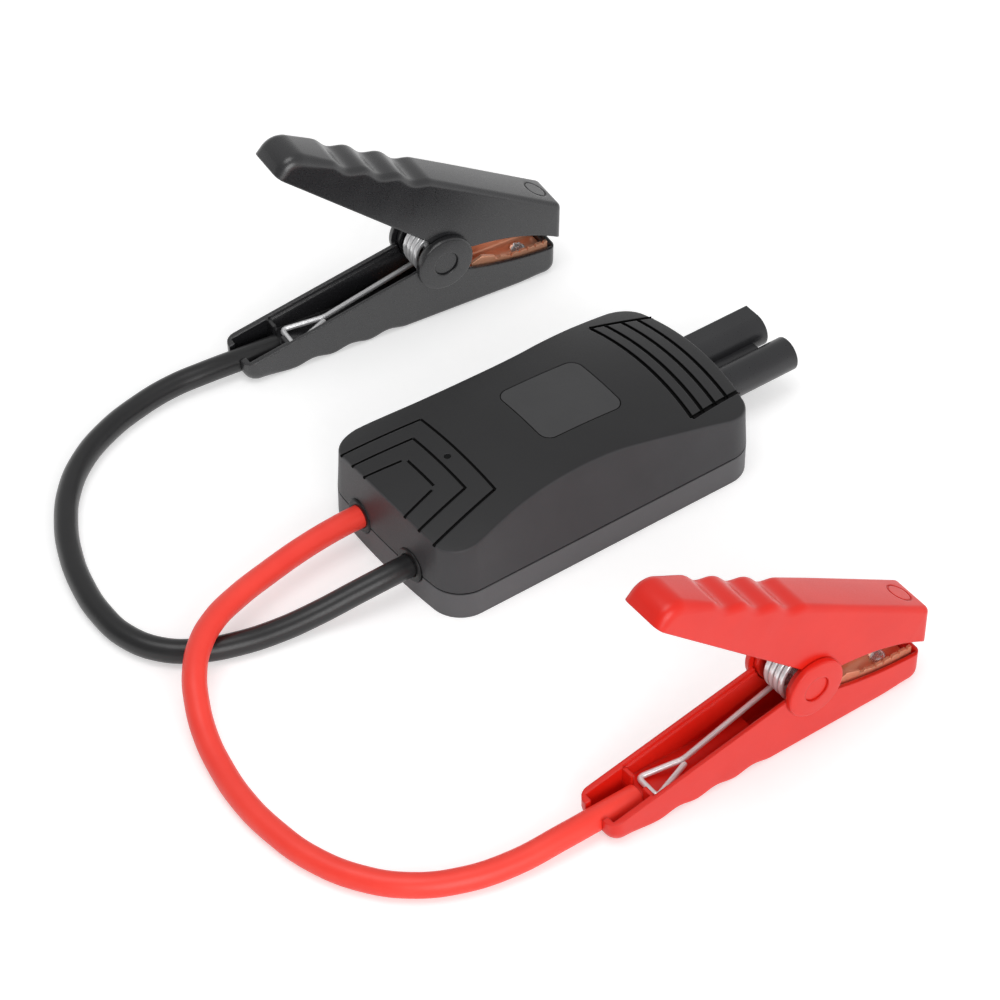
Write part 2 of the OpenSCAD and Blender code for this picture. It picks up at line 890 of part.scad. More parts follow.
module tube(path, r, sides, start) {
    t = tangents(path);
    n = normals(t, start);
    last = (len(path) - 1) * sides;
    points = [
        for (i = [0:len(path) - 1], j = [0:sides - 1])
            path[i] + r * (cos(360 * j / sides) * n[i] + sin(360 * j / sides) * cross(t[i], n[i]))
    ];
    walls = [
        for (i = [0:len(path) - 2], j = [0:sides - 1], half = [0, 1])
            let (a = i * sides + j, b = i * sides + (j + 1) % sides)
            half == 0 ? [a, a + sides, b] : [b, a + sides, b + sides]
    ];
    caps = [
        for (j = [1:sides - 2], end = [0, 1])
            end == 0 ? [0, j, j + 1] : [last, last + j + 1, last + j]
    ];
    polyhedron(points, concat(walls, caps));
}

// A corner at b between a and c, eased over a distance d
function eased(a, b, c, d, n = 4) = let (p = b + d * unit(a - b), q = b + d * unit(c - b)) [
    for (i = [0:n]) let (k = i / n) (1 - k) * (1 - k) * p + 2 * k * (1 - k) * b + k * k * q
];

// Spring: a coil round the pin with a straight leg to each handle, each ending in a flat triangle
coil_r = coil_d / 2;
wire_r = wire_d / 2;
leg_gap = 0.15;
leg_bend = -31.6;
loop_end = -42.5;
loop_half = 3.2;
bend_side = 0.4;
tip_side = -1.35;
wire_ease = 1.6;
rings_per_turn = 8;
lower_base = shelf_z + wire_r + leg_gap - pivot_z;
upper_base = upper_h - roof_t - wire_r - leg_gap;

// Slope of a leg that leaves the coil at a tangent and comes to the base's height at its end
function leg_slope(h) = atan2(h, -loop_end) - asin(coil_r / norm([loop_end, h]));

// A point on the plane of a leg, at x along the handle and y across
function on_leg(x, y, base) = [x, y, base - sign(base) * (x - loop_end) * tan(leg_slope(abs(base)))];

function turned(p) = [
    p.x * cos(rest_angle) + p.z * sin(rest_angle), p.y, p.z * cos(rest_angle) - p.x * sin(rest_angle)
];

// The flat triangle at a leg's end, from its free end to the bend
function loop_path(base, side) = let (
    tip = on_leg(leg_bend + 0.6, side * tip_side, base),
    near = on_leg(loop_end, -side * loop_half, base),
    far = on_leg(loop_end, side * loop_half, base),
    bend = on_leg(leg_bend, side * bend_side, base)
) concat([tip], eased(tip, near, far, wire_ease), eased(near, far, bend, wire_ease), [bend]);

function spring_path() = let (
    from = leg_slope(-lower_base) - 90,
    to = 90 - rest_angle - leg_slope(upper_base) + 360 * coil_turns,
    rings = round((to - from) / 360 * rings_per_turn),
    half = coil_pitch * (to - from) / 720,
    upper = [for (p = loop_path(upper_base, -1)) turned(p)]
) concat(
    loop_path(lower_base, 1),
    [for (i = [0:rings]) let (k = i / rings, a = from + (to - from) * k)
        [coil_r * cos(a), half * (1 - 2 * k), coil_r * sin(a)]],
    [for (i = [len(upper) - 1:-1:0]) upper[i]]
);

module spring() {
    translate([0, 0, pivot_z]) tube(spring_path(), wire_r, 6, [0, 0, 1]);
}

// Least gap between stretches of a wire that aren't neighbours along it
function wire_gap(p, apart) = min([
    for (i = [0:len(p) - 1], j = [i + 1:1:len(p) - 1]) if (norm_along(p, i, j) > apart) norm(p[i] - p[j])
]) - wire_d;
function norm_along(p, i, j) = j <= i ? 0 : norm(p[j] - p[j - 1]) + norm_along(p, i, j - 1);

// Cable routes: points chosen by hand between the grommets and the clamps' entries
function at_clamp(place, yaw, u, z) = [place.x + u * cos(yaw), place.y + u * sin(yaw), z];
function entry(place, yaw) = [
    for (u = [-lower_handle_l - 8, -lower_handle_l, shelf_u]) at_clamp(place, yaw, u, lead_z)
];
function leaving(y) = [
    for (x = [grommet_in + cable_in, grommet_seat - grommet_out, grommet_seat - 6]) [x, y, cable_z]
];
red_route = concat(leaving(cable_y), [
    [-64, 9.8, 8.2], [-76, 8, 7.8], [-87, 5, 8.4], [-96, 1, 9.3], [-103, -4, 9.5], [-108.5, -10, 8.6],
    [-112.5, -17, 6.6], [-115.5, -25, 4.4], [-117.5, -34, 3.2], [-119, -46, 3], [-118.5, -58, 3],
    [-116, -70, 3], [-110.5, -81, 3], [-103, -89, 3], [-93, -94.5, 3], [-81, -97.5, 3.2]
], entry(red_place, red_yaw));
black_route = concat(leaving(-cable_y), [
    [-62, -9.2, 6.8], [-72, -7.4, 4.4], [-82, -5.8, 3.2], [-92, -3.6, 3], [-101, 0, 3], [-108, 5.5, 3],
    [-112.4, 14, 3], [-113.3, 24, 3], [-111.8, 35, 3], [-108.4, 46, 3], [-103.5, 56, 3], [-97, 65, 3],
    [-88.5, 72.5, 3], [-78, 78, 3], [-67, 81.2, 3], [-56, 82.2, 3.5]
], entry(black_place, black_yaw));

module red_cable() {
    color(red_plastic) tube(red_route, cable_r, 10, [0, 0, 1]);
}

module black_cable() {
    color(rubber_black) tube(black_route, cable_r, 10, [0, 0, 1]);
}

module red_lower_shell() { color(red_plastic) red_clamp() lower_shell(); }
module red_upper_shell() { color(red_plastic) red_clamp() upper_shell(); }
module red_pivot_pin() { color(steel) red_clamp() pivot_pin(); }
module red_pivot_caps() { color(red_plastic) red_clamp() pivot_caps(); }
module red_spring() { color(steel) red_clamp() spring(); }
module red_lower_contact() { color(copper) red_clamp() lower_contact(); }
module red_upper_contact() { color(copper) red_clamp() upper_contact(); }
module red_lower_screw() { color(steel) red_clamp() lower_screw(); }
module red_upper_screw() { color(steel) red_clamp() upper_screw(); }
module red_core_wire() { color(copper) red_clamp() core_wire(); }
module black_lower_shell() { color(black_plastic) black_clamp() lower_shell(); }
module black_upper_shell() { color(black_plastic) black_clamp() upper_shell(); }
module black_pivot_pin() { color(steel) black_clamp() pivot_pin(); }
module black_pivot_caps() { color(black_plastic) black_clamp() pivot_caps(); }
module black_spring() { color(steel) black_clamp() spring(); }
module black_lower_contact() { color(copper) black_clamp() lower_contact(); }
module black_upper_contact() { color(copper) black_clamp() upper_contact(); }
module black_lower_screw() { color(steel) black_clamp() lower_screw(); }
module black_upper_screw() { color(steel) black_clamp() upper_screw(); }
module black_core_wire() { color(copper) black_clamp() core_wire(); }

echo(spring_least_gap = wire_gap(spring_path(), 3 * wire_d));

lower_case();
upper_case();
case_screws();
circuit_board();
relay();
capacitor();
indicator_led();
light_pipe();
label_plate();
plug_housing();
plug_contacts();
bus_bars();
red_grommet();
black_grommet();
red_lead_lug();
black_lead_lug();
red_cable();
black_cable();
red_lower_shell();
red_upper_shell();
red_pivot_pin();
red_pivot_caps();
red_spring();
red_lower_contact();
red_upper_contact();
red_lower_screw();
red_upper_screw();
red_core_wire();
black_lower_shell();
black_upper_shell();
black_pivot_pin();
black_pivot_caps();
black_spring();
black_lower_contact();
black_upper_contact();
black_lower_screw();
black_upper_screw();
black_core_wire();
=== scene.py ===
import math

import bpy
import bmesh
import numpy as np
from mathutils import Matrix, Vector


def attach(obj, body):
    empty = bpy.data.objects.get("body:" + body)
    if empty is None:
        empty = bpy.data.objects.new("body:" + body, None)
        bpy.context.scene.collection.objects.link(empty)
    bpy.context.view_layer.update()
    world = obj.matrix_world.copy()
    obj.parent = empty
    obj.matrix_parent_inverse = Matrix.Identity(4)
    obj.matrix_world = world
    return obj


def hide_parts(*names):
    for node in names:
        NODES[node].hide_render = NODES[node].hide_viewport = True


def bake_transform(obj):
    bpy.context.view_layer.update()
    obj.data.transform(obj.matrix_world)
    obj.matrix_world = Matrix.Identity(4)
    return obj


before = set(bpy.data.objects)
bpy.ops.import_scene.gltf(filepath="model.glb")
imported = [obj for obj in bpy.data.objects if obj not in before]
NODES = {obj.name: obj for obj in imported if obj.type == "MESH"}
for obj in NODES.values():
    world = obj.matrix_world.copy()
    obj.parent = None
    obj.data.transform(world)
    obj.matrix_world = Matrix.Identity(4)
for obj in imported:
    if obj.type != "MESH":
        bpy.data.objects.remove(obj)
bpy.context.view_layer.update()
SCENE = bpy.context.scene
MM = 0.001


def mm(x, y, z):
    return Vector((x * MM, y * MM, z * MM))


# Camera at the photograph's viewing angle, in degrees and metres
CAM_AZIMUTH, CAM_ELEVATION, CAM_DISTANCE = -36.28, 43.57, 0.95
CAM_TARGET, CAM_LENS, CAM_SENSOR = mm(-11.26, 2.09, 0), 138.2, 36
CAM_NEAR, CAM_FAR = 0.05, 20


def aimed(name, data, azimuth, elevation, distance):
    """A camera or lamp that looks at the target from that angle and distance."""
    turn, tilt = math.radians(azimuth), math.radians(elevation)
    flat = math.cos(tilt)
    back = Vector((math.sin(turn) * flat, -math.cos(turn) * flat, math.sin(tilt)))
    obj = bpy.data.objects.new(name, data)
    obj.location = CAM_TARGET + distance * back
    obj.rotation_euler = back.to_track_quat("Z", "Y").to_euler()
    SCENE.collection.objects.link(obj)
    return obj


def make_camera():
    data = bpy.data.cameras.new("camera")
    data.sensor_width, data.lens = CAM_SENSOR, CAM_LENS
    data.clip_start, data.clip_end = CAM_NEAR, CAM_FAR
    SCENE.camera = aimed("camera", data, CAM_AZIMUTH, CAM_ELEVATION, CAM_DISTANCE)


make_camera()


# Node trees: the part of a noise's range that is used, the slopes that count as steep and level
# for the painted shade on tops, and the sockets of the Mix node that carry colours
NOISE_LOW, NOISE_HIGH = 0.3, 0.7
STEEP, LEVEL = 0.62, 0.9
MIX_FIRST, MIX_SECOND, MIX_RESULT = 6, 7, 2
BEVEL_SAMPLES = 6


class Tree:
    """The nodes of a material or of the world."""

    def __init__(self, owner, output="ShaderNodeOutputMaterial"):
        owner.use_nodes = True
        self.owner, self.tree = owner, owner.node_tree
        self.tree.nodes.clear()
        self.out = self.node(output)
        self.coord = self.node("ShaderNodeTexCoord")

    def node(self, kind, **settings):
        made = self.tree.nodes.new(kind)
        for key, value in settings.items():
            setattr(made, key, value)
        return made

    def link(self, source, target):
        self.tree.links.new(source, target)

    def noise(self, scale, detail, rough=0.5):
        tex = self.node("ShaderNodeTexNoise")
        for key, value in (("Scale", scale), ("Detail", detail), ("Roughness", rough)):
            tex.inputs[key].default_value = value
        self.link(self.coord.outputs["Object"], tex.inputs["Vector"])
        return tex.outputs["Fac"]

    def ramp(self, fac, stops):
        ramp = self.node("ShaderNodeValToRGB")
        elements = ramp.color_ramp.elements
        while len(elements) < len(stops):
            elements.new(0.5)
        for element, (at, colour) in zip(elements, stops):
            element.position = at
            element.color = (*colour, 1)
        self.link(fac, ramp.inputs["Fac"])
        return ramp.outputs["Color"]

    def clouded(self, fac, dark, light):
        """A noise turned into colours between two."""
        return self.ramp(fac, [(NOISE_LOW, dark), (NOISE_HIGH, light)])

    def mapped(self, value, start, stop, low=0, high=1):
        """A value from start to stop turned into one from low to high."""
        scaled = self.node("ShaderNodeMapRange")
        for key, number in (("From Min", start), ("From Max", stop), ("To Min", low), ("To Max", high)):
            scaled.inputs[key].default_value = number
        self.link(value, scaled.inputs["Value"])
        return scaled.outputs["Result"]

    def split(self, vector):
        parts = self.node("ShaderNodeSeparateXYZ")
        self.link(vector, parts.inputs[0])
        return parts.outputs

    def bump(self, height, strength, distance, normal=None):
        bump = self.node("ShaderNodeBump")
        bump.inputs["Strength"].default_value = strength
        bump.inputs["Distance"].default_value = distance
        self.link(height, bump.inputs["Height"])
        if normal:
            self.link(normal, bump.inputs["Normal"])
        return bump.outputs["Normal"]

    def rounded(self, radius):
        bevel = self.node("ShaderNodeBevel", samples=BEVEL_SAMPLES)
        bevel.inputs["Radius"].default_value = radius
        return bevel.outputs["Normal"]

    def painted_top_shade(self, sides, top):
        """Painted shade on tops: one colour for steep faces and another for nearly level ones."""
        up = self.split(self.coord.outputs["Normal"])["Z"]
        mix = self.node("ShaderNodeMix", data_type="RGBA")
        self.link(self.mapped(up, STEEP, LEVEL), mix.inputs["Factor"])
        self.link(sides, mix.inputs[MIX_FIRST])
        self.link(top, mix.inputs[MIX_SECOND])
        return mix.outputs[MIX_RESULT]

    def surface(self, colour, rough, normal, **sockets):
        bsdf = self.node("ShaderNodeBsdfPrincipled")
        for key, source in (("Base Color", colour), ("Roughness", rough), ("Normal", normal)):
            self.link(source, bsdf.inputs[key])
        for key, value in sockets.items():
            bsdf.inputs[key.replace("_", " ")].default_value = value
        self.link(bsdf.outputs["BSDF"], self.out.inputs["Surface"])
        return self.owner

    def largest(self, first, *others):
        """The largest of several values."""
        for value in others:
            pick = self.node("ShaderNodeMath", operation="MAXIMUM")
            self.link(first, pick.inputs[0])
            self.link(value, pick.inputs[1])
            first = pick.outputs[0]
        return first

    def shown(self, fac, first, second):
        """The first shader or, as the factor grows, the second, as what the tree puts out."""
        mix = self.node("ShaderNodeMixShader")
        self.link(fac, mix.inputs["Fac"])
        self.link(first, mix.inputs[1])
        self.link(second, mix.inputs[2])
        self.link(mix.outputs[0], self.out.inputs["Surface"])


def linear(r, g, b):
    """Linear colour of an sRGB one given from 0 to 255."""
    def one(v):
        v /= 255
        return v / 12.92 if v <= 0.04045 else ((v + 0.055) / 1.055) ** 2.4
    return one(r), one(g), one(b)


# Plastic and rubber: clouds of colour, also for a top colour of painted shade, and a grain in the bump and
# the gloss
CLOUD_SCALE, CLOUD_DETAIL, TOP_LIGHTER = 90, 3, 1.08
GRAIN_DETAIL, GRAIN_ROUGH, GRAIN_BUMP, GRAIN_GLOSS = 2, 0.6, 0.35, 0.05
# Metal: duller patches, and streaks in the bump and the gloss
PATCH_SCALE, PATCH_DETAIL, STREAK_DETAIL = 160, 3, 2
STREAK_BUMP, STREAK_DEPTH, STREAK_SMOOTHER, STREAK_ROUGHER = 0.1, 0.000003, 0.04, 0.05


def moulded(name, light, dark, rough, grain, depth, edge, top=None, **sockets):
    """Moulded plastic or rubber: slightly clouded colour, fine spark-eroded grain and softened edges.

    A top colour, where there is one, takes over on faces that look up, as painted shade on the top.
    """
    t = Tree(bpy.data.materials.new(name))
    cloud = t.noise(CLOUD_SCALE, CLOUD_DETAIL)
    fine = t.noise(grain, GRAIN_DETAIL, GRAIN_ROUGH)
    colour = t.clouded(cloud, dark, light)
    if top:
        colour = t.painted_top_shade(colour, t.clouded(cloud, top, [TOP_LIGHTER * v for v in top]))
    gloss = t.mapped(fine, NOISE_LOW, NOISE_HIGH, rough - GRAIN_GLOSS, rough + GRAIN_GLOSS)
    return t.surface(colour, gloss, t.bump(fine, GRAIN_BUMP, depth, t.rounded(edge)), **sockets)


def metal(name, light, dark, rough, scale, metallic, edge=None):
    """Plated or bare metal with fine streaks and duller patches."""
    t = Tree(bpy.data.materials.new(name))
    colour = t.clouded(t.noise(PATCH_SCALE, PATCH_DETAIL), dark, light)
    streaks = t.noise(scale, STREAK_DETAIL)
    gloss = t.mapped(streaks, NOISE_LOW, NOISE_HIGH, rough - STREAK_SMOOTHER, rough + STREAK_ROUGHER)
    normal = t.bump(streaks, STREAK_BUMP, STREAK_DEPTH, t.rounded(edge) if edge else None)
    return t.surface(colour, gloss, normal, Metallic=metallic)


# The case's top colour, darker than its sides, is painted shade on the faces that look up
CASE = moulded("case_plastic", linear(66, 66, 68), linear(62, 62, 64), 0.46, 2600, 0.00003, 0.0004,
               top=linear(41, 41, 42), Specular_IOR_Level=0.3)
# The lower case: a lighter copy of the case plastic, painted light as of the white floor's bounce
LOWER_PAINTED_LIGHT = moulded("lower_plastic_painted_light", linear(93, 93, 95), linear(89, 89, 91), 0.46, 2600, 0.00003, 0.0004,
                Specular_IOR_Level=0.3)
LABEL = moulded("label_plastic", linear(67, 67, 68), linear(64, 64, 65), 0.5, 3200, 0.00002, 0.0001,
                Specular_IOR_Level=0.3)
PLUG = moulded("plug_plastic", linear(45, 45, 47), linear(41, 41, 43), 0.32, 3000, 0.00002, 0.0005)
RUBBER = moulded("black_rubber", linear(31, 31, 32), linear(27, 27, 28), 0.34, 2200, 0.00002, 0.0003)
COLLAR = moulded("collar_rubber", linear(17, 17, 18), linear(13, 13, 14), 0.42, 2200, 0.00002, 0.0003,
                 Specular_IOR_Level=0.3)
RED_RUBBER = moulded("red_rubber", linear(255, 70, 56), linear(250, 62, 49), 0.42, 2200, 0.00002, 0.0003)
RED = moulded("red_plastic", linear(232, 38, 24), linear(226, 33, 20), 0.33, 2800, 0.00001, 0.0006,
              Specular_IOR_Level=0.44)
BLACK = moulded("black_plastic", linear(35, 35, 37), linear(31, 31, 33), 0.3, 2800, 0.000003, 0.0006,
                Specular_IOR_Level=0.8)
# Painted shade: near black, laid in the grooves, round the label and in the seam, where shade falls
PAINTED_SHADE = moulded("painted_shade_black", linear(9, 9, 9), linear(6, 6, 6), 0.6, 2400, 0.00002, 0.0001,
              Specular_IOR_Level=0.1)
STEEL = metal("steel", (0.84, 0.84, 0.85), (0.74, 0.74, 0.75), 0.26, 5000, 0.7, 0.0001)
WIRE = metal("spring_wire", (0.95, 0.95, 0.96), (0.88, 0.88, 0.89), 0.2, 5000, 0.4)
COPPER = metal("copper", (1.0, 0.52, 0.33), (0.93, 0.41, 0.24), 0.2, 4000, 0.38, 0.0002)
# Indicator and light pipe: near black, painted shade so the light's small hole reads dark
LIGHT_PIPE_SHADE = moulded("lamp_clear", linear(5, 6, 6), linear(3, 4, 4), 0.15, 3000, 0.00001, 0.0001,
               Specular_IOR_Level=0.15)
BOARD = moulded("board", linear(28, 92, 56), linear(22, 78, 47), 0.35, 1500, 0.00002, 0.0001)
CAN = moulded("capacitor_can", linear(46, 46, 52), linear(38, 38, 44), 0.3, 1800, 0.00001, 0.0002)

PLASTICS = {"red": RED, "black": BLACK}
NODE_MATERIALS = {
    "lower_case": LOWER_PAINTED_LIGHT, "upper_case": CASE, "case_screws": STEEL, "circuit_board": BOARD,
    "relay": PLUG, "capacitor": CAN, "indicator_led": LIGHT_PIPE_SHADE, "light_pipe": LIGHT_PIPE_SHADE, "label_plate": LABEL,
    "plug_housing": PLUG, "plug_contacts": COPPER, "bus_bars": COPPER, "red_grommet": RUBBER,
    "black_grommet": RUBBER, "red_lead_lug": COPPER, "black_lead_lug": COPPER,
}
for side, plastic in PLASTICS.items():
    for material, parts in (
        (plastic, ("lower_shell", "upper_shell", "pivot_caps")),
        (STEEL, ("pivot_pin", "lower_screw", "upper_screw")),
        (COPPER, ("lower_contact", "upper_contact", "core_wire")),
    ):
        for part in parts:
            NODE_MATERIALS[f"{side}_{part}"] = material

for name, material in NODE_MATERIALS.items():
    slots = NODES[name].data.materials
    if not slots:
        slots.append(material)
    for i in range(len(slots)):
        slots[i] = material


# Cables: the routes of the solids, as round curves
CABLE_R, CABLE_STEPS = 3 * MM, 8
RED_ROUTE = [
    (-40.731, 10.5, 8.5), (-47.731, 10.5, 8.5), (-52.731, 10.5, 8.5), (-64, 9.8, 8.2), (-76, 8, 7.8),
    (-87, 5, 8.4), (-96, 1, 9.3), (-103, -4, 9.5), (-108.5, -10, 8.6), (-112.5, -17, 6.6),
    (-115.5, -25, 4.4), (-117.5, -34, 3.2), (-119, -46, 3), (-118.5, -58, 3), (-116, -70, 3),
    (-110.5, -81, 3), (-103, -89, 3), (-93, -94.5, 3), (-81, -97.5, 3.2), (-66.7, -98.4, 4),
    (-58.7, -98.4, 4), (-46.7, -98.4, 4),
]
BLACK_ROUTE = [
    (-40.731, -10.5, 8.5), (-47.731, -10.5, 8.5), (-52.731, -10.5, 8.5), (-62, -9.2, 6.8),
    (-72, -7.4, 4.4), (-82, -5.8, 3.2), (-92, -3.6, 3), (-101, 0, 3), (-108, 5.5, 3), (-112.4, 14, 3),
    (-113.3, 24, 3), (-111.8, 35, 3), (-108.4, 46, 3), (-103.5, 56, 3), (-97, 65, 3), (-88.5, 72.5, 3),
    (-78, 78, 3), (-67, 81.2, 3), (-56, 82.2, 3.5), (-45.641, 81.147, 4), (-37.685, 80.31, 4),
    (-25.751, 79.056, 4),
]


def make_cable(name, node, route, material):
    data = bpy.data.curves.new(name, "CURVE")
    data.dimensions = "3D"
    data.bevel_depth = CABLE_R
    data.bevel_resolution = data.resolution_u = CABLE_STEPS
    data.use_fill_caps = True
    spline = data.splines.new("BEZIER")
    spline.bezier_points.add(len(route) - 1)
    for point, place in zip(spline.bezier_points, route):
        point.co = mm(*place)
        point.handle_left_type = point.handle_right_type = "AUTO"
    data.materials.append(material)
    obj = bpy.data.objects.new(name, data)
    SCENE.collection.objects.link(obj)
    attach(obj, "root")
    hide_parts(node)
    mm(*route[0])


make_cable("red_lead", "red_cable", RED_ROUTE, RED_RUBBER)
make_cable("black_lead", "black_cable", BLACK_ROUTE, RUBBER)


# Meshes and pieces: helpers that the sections below share
FORM_SHARP, SCREW_SHARP = 34, 40
WELD = 0.000005


def turns(count):
    """Angles that share out a full turn."""
    return [2 * math.pi * i / count for i in range(count)]


def circle(x, y, r, count=48):
    return [(x + r * math.cos(a), y + r * math.sin(a)) for a in turns(count)]


def ease(k):
    return k * k * (3 - 2 * k)


def curve(a, b, c, n):
    """Points from a to c on a curve that sets out towards b and arrives from it."""
    return [(1 - k) ** 2 * a + 2 * k * (1 - k) * b + k * k * c for k in (i / n for i in range(n + 1))]


def bridge(bm, loops, closed=False):
    """Faces from each loop to the next and, where it is closed, from the last to the first."""
    pairs = list(zip(loops, loops[1:]))
    if closed:
        pairs.append((loops[-1], loops[0]))
    for low, high in pairs:
        for j in range(len(low)):
            k = (j + 1) % len(low)
            bm.faces.new((low[j], low[k], high[k], high[j]))


def turn_outward(bm):
    bmesh.ops.recalc_face_normals(bm, faces=bm.faces)
    if bm.calc_volume(signed=True) < 0:
        bmesh.ops.reverse_faces(bm, faces=bm.faces)


def mesh_from(bm, name):
    mesh = bpy.data.meshes.new(name)
    bm.to_mesh(mesh)
    bm.free()
    return mesh


def soften(mesh, sharp=None):
    """Smooth shading, with edges over the sharp angle kept."""
    for face in mesh.polygons:
        face.use_smooth = True
    if sharp:
        mesh.set_sharp_from_angle(angle=math.radians(sharp))


def weld(mesh):
    """Close up the slivers that cutting leaves where points fall together."""
    bm = bmesh.new()
    bm.from_mesh(mesh)
    bmesh.ops.remove_doubles(bm, verts=bm.verts, dist=WELD)
    bmesh.ops.dissolve_degenerate(bm, edges=bm.edges, dist=WELD)
    bm.to_mesh(mesh)
    bm.free()


def carved(mesh, cutters, operation="DIFFERENCE"):
    """The mesh with each cutter taken out of it in turn, or added to it."""
    work = bpy.data.objects.new("carving", mesh)
    SCENE.collection.objects.link(work)
    for bm in cutters:
        turn_outward(bm)
        tool_mesh = mesh_from(bm, "tool")
        tool = bpy.data.objects.new("tool", tool_mesh)
        SCENE.collection.objects.link(tool)
        cut = work.modifiers.new("cut", "BOOLEAN")
        cut.operation, cut.solver, cut.object = operation, "EXACT", tool
        ready = work.evaluated_get(bpy.context.evaluated_depsgraph_get())
        done = bpy.data.meshes.new_from_object(ready)
        work.modifiers.clear()
        work.data = done
        bpy.data.objects.remove(tool)
        bpy.data.meshes.remove(tool_mesh)
    done = work.data
    bpy.data.objects.remove(work)
    return done


def add_piece(name, mesh, material, body, slot, *nodes):
    mesh.materials.append(material)
    obj = bpy.data.objects.new(name, mesh)
    SCENE.collection.objects.link(obj)
    if body:
        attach(obj, body)
    if nodes:
        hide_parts(*nodes)
    return obj


def piece_from(bm, name, material, body, slot, *nodes, smooth=False):
    bmesh.ops.recalc_face_normals(bm, faces=bm.faces)
    mesh = mesh_from(bm, name)
    if smooth:
        soften(mesh)
    return add_piece(name, mesh, material, body, slot, *nodes)


def form_piece(name, mesh, material, body, slot, node):
    """A piece from a carved mesh."""
    mesh.name = name
    weld(mesh)
    soften(mesh, FORM_SHARP)
    mesh.materials.clear()
    add_piece(name, mesh, material, body, slot, node)


# Clamps: where they lie, their pivot, how far they stand open at rest, and what the springs' legs rest on
CLAMPS = {
    "red": (Vector((-1.2, -98.4, 0)), 0.0),
    "black": (Vector((19.5, 74.3, 0)), math.radians(-6)),
}
PIVOT_Z, REST = 18, math.radians(31.5)
UPPER_H, UPPER_ROOF, SHELF_Z = 21.5, 2, 4.6


def clamp_matrix(side):
    place, yaw = CLAMPS[side]
    return Matrix.Scale(MM, 4) @ Matrix.Translation(place) @ Matrix.Rotation(yaw, 4, "Z")


def jaw_matrix(side):
    return clamp_matrix(side) @ Matrix.Translation((0, 0, PIVOT_Z)) @ Matrix.Rotation(REST, 4, "Y")


# Clamp springs, on the same lines as the solids but finer
COIL_R, COIL_PITCH, COIL_TURNS, COIL_STEPS, COIL_HOLD = 6, 1.7, 4, 156, 1.2
WIRE_R, WIRE_GAP, WIRE_SIDES, WIRE_DOME = 0.74, 0.15, 14, (75, 45, 20)
LEG_BEND, LEG_EASE, LEAD_IN, EASE_STEPS = -31.6, 1.2, 0.5, 8
LOOP_END, LOOP_NEAR, LOOP_FAR, LOOP_EASE = -42.5, 4.1, 3.2, 1.6
BEND_SIDE, TIP_SIDE, TIP_SHORT = 0.4, -0.98, 0.8
LOWER_BASE = SHELF_Z + WIRE_R + WIRE_GAP - PIVOT_Z
UPPER_BASE = UPPER_H - UPPER_ROOF - WIRE_R - WIRE_GAP


def wire_mesh(name, path, radius):
    """Round wire through points: rings carried along the path, with domed ends."""
    last = len(path) - 1
    tangents = [(path[min(i + 1, last)] - path[max(i - 1, 0)]).normalized() for i in range(last + 1)]
    normal = tangents[0].orthogonal().normalized()
    frames = []
    for tangent in tangents:
        normal = (normal - normal.dot(tangent) * tangent).normalized()
        frames.append((normal.copy(), tangent.cross(normal)))

    def domed(end, way, angles):
        return [(path[end] + way * tangents[end] * radius * math.sin(a), frames[end], radius * math.cos(a))
                for a in angles]

    dome = [math.radians(a) for a in WIRE_DOME]
    rings = domed(0, -1, dome)
    rings += [(point, axes, radius) for point, axes in zip(path, frames)]
    rings += domed(-1, 1, reversed(dome))
    bm = bmesh.new()
    loops = [
        [bm.verts.new(centre + r * (math.cos(w) * n + math.sin(w) * b)) for w in turns(WIRE_SIDES)]
        for centre, (n, b), r in rings
    ]
    bridge(bm, loops)
    bm.faces.new(list(reversed(loops[0])))
    bm.faces.new(loops[-1])
    bm.normal_update()
    mesh = mesh_from(bm, name)
    soften(mesh)
    return mesh


def leg_slope(height):
    return math.atan2(height, -LOOP_END) - math.asin(COIL_R / math.hypot(LOOP_END, height))


def on_leg(x, y, base):
    rise = (x - LOOP_END) * math.tan(leg_slope(abs(base)))
    return Vector((x, y, base - math.copysign(rise, base)))


def at_rest(p):
    """A point of the upper leg, turned about the pivot with its jaw."""
    c, s = math.cos(REST), math.sin(REST)
    return Vector((p.x * c + p.z * s, p.y, p.z * c - p.x * s))


def eased(a, b, c, reach):
    """The bend at b on the way from a to c, rounded within a reach of it."""
    return curve(b + reach * (a - b).normalized(), b, b + reach * (c - b).normalized(), EASE_STEPS)


def loop_path(base, side):
    """The triangle at a leg's end, from its free tip to the bend where the leg starts."""
    tip = on_leg(LEG_BEND - TIP_SHORT, side * TIP_SIDE, base)
    near = on_leg(LOOP_END, -side * LOOP_NEAR, base)
    far = on_leg(LOOP_END, side * LOOP_FAR, base)
    bend = on_leg(LEG_BEND, side * BEND_SIDE, base)
    return [tip, *eased(tip, near, far, LOOP_EASE), *eased(near, far, bend, LOOP_EASE), bend]


def leg_path(loop, joint, beyond):
    """The triangle and its leg, with the bend eased and a short lead-in on the coil."""
    leg = [*loop[:-1], *eased(loop[-2], loop[-1], joint, LEG_EASE)]
    return [*leg, joint, joint + LEAD_IN * (beyond - joint)]


def spring_paths():
    start = leg_slope(-LOWER_BASE) - math.pi / 2
    stop = math.pi / 2 - REST - leg_slope(UPPER_BASE) + 2 * math.pi * COIL_TURNS
    half = COIL_PITCH * (stop - start) / (4 * math.pi)
    coil = []
    for i in range(COIL_STEPS + 1):
        k = i / COIL_STEPS
        a = start + (stop - start) * k
        coil.append(Vector((COIL_R * math.cos(a), half * (1 - 2 * k), COIL_R * math.sin(a))))
    lower = leg_path(loop_path(LOWER_BASE, 1), coil[0], coil[1])
    upper = leg_path([at_rest(p) for p in loop_path(UPPER_BASE, -1)], coil[-1], coil[-2])
    return lower, coil, upper, half


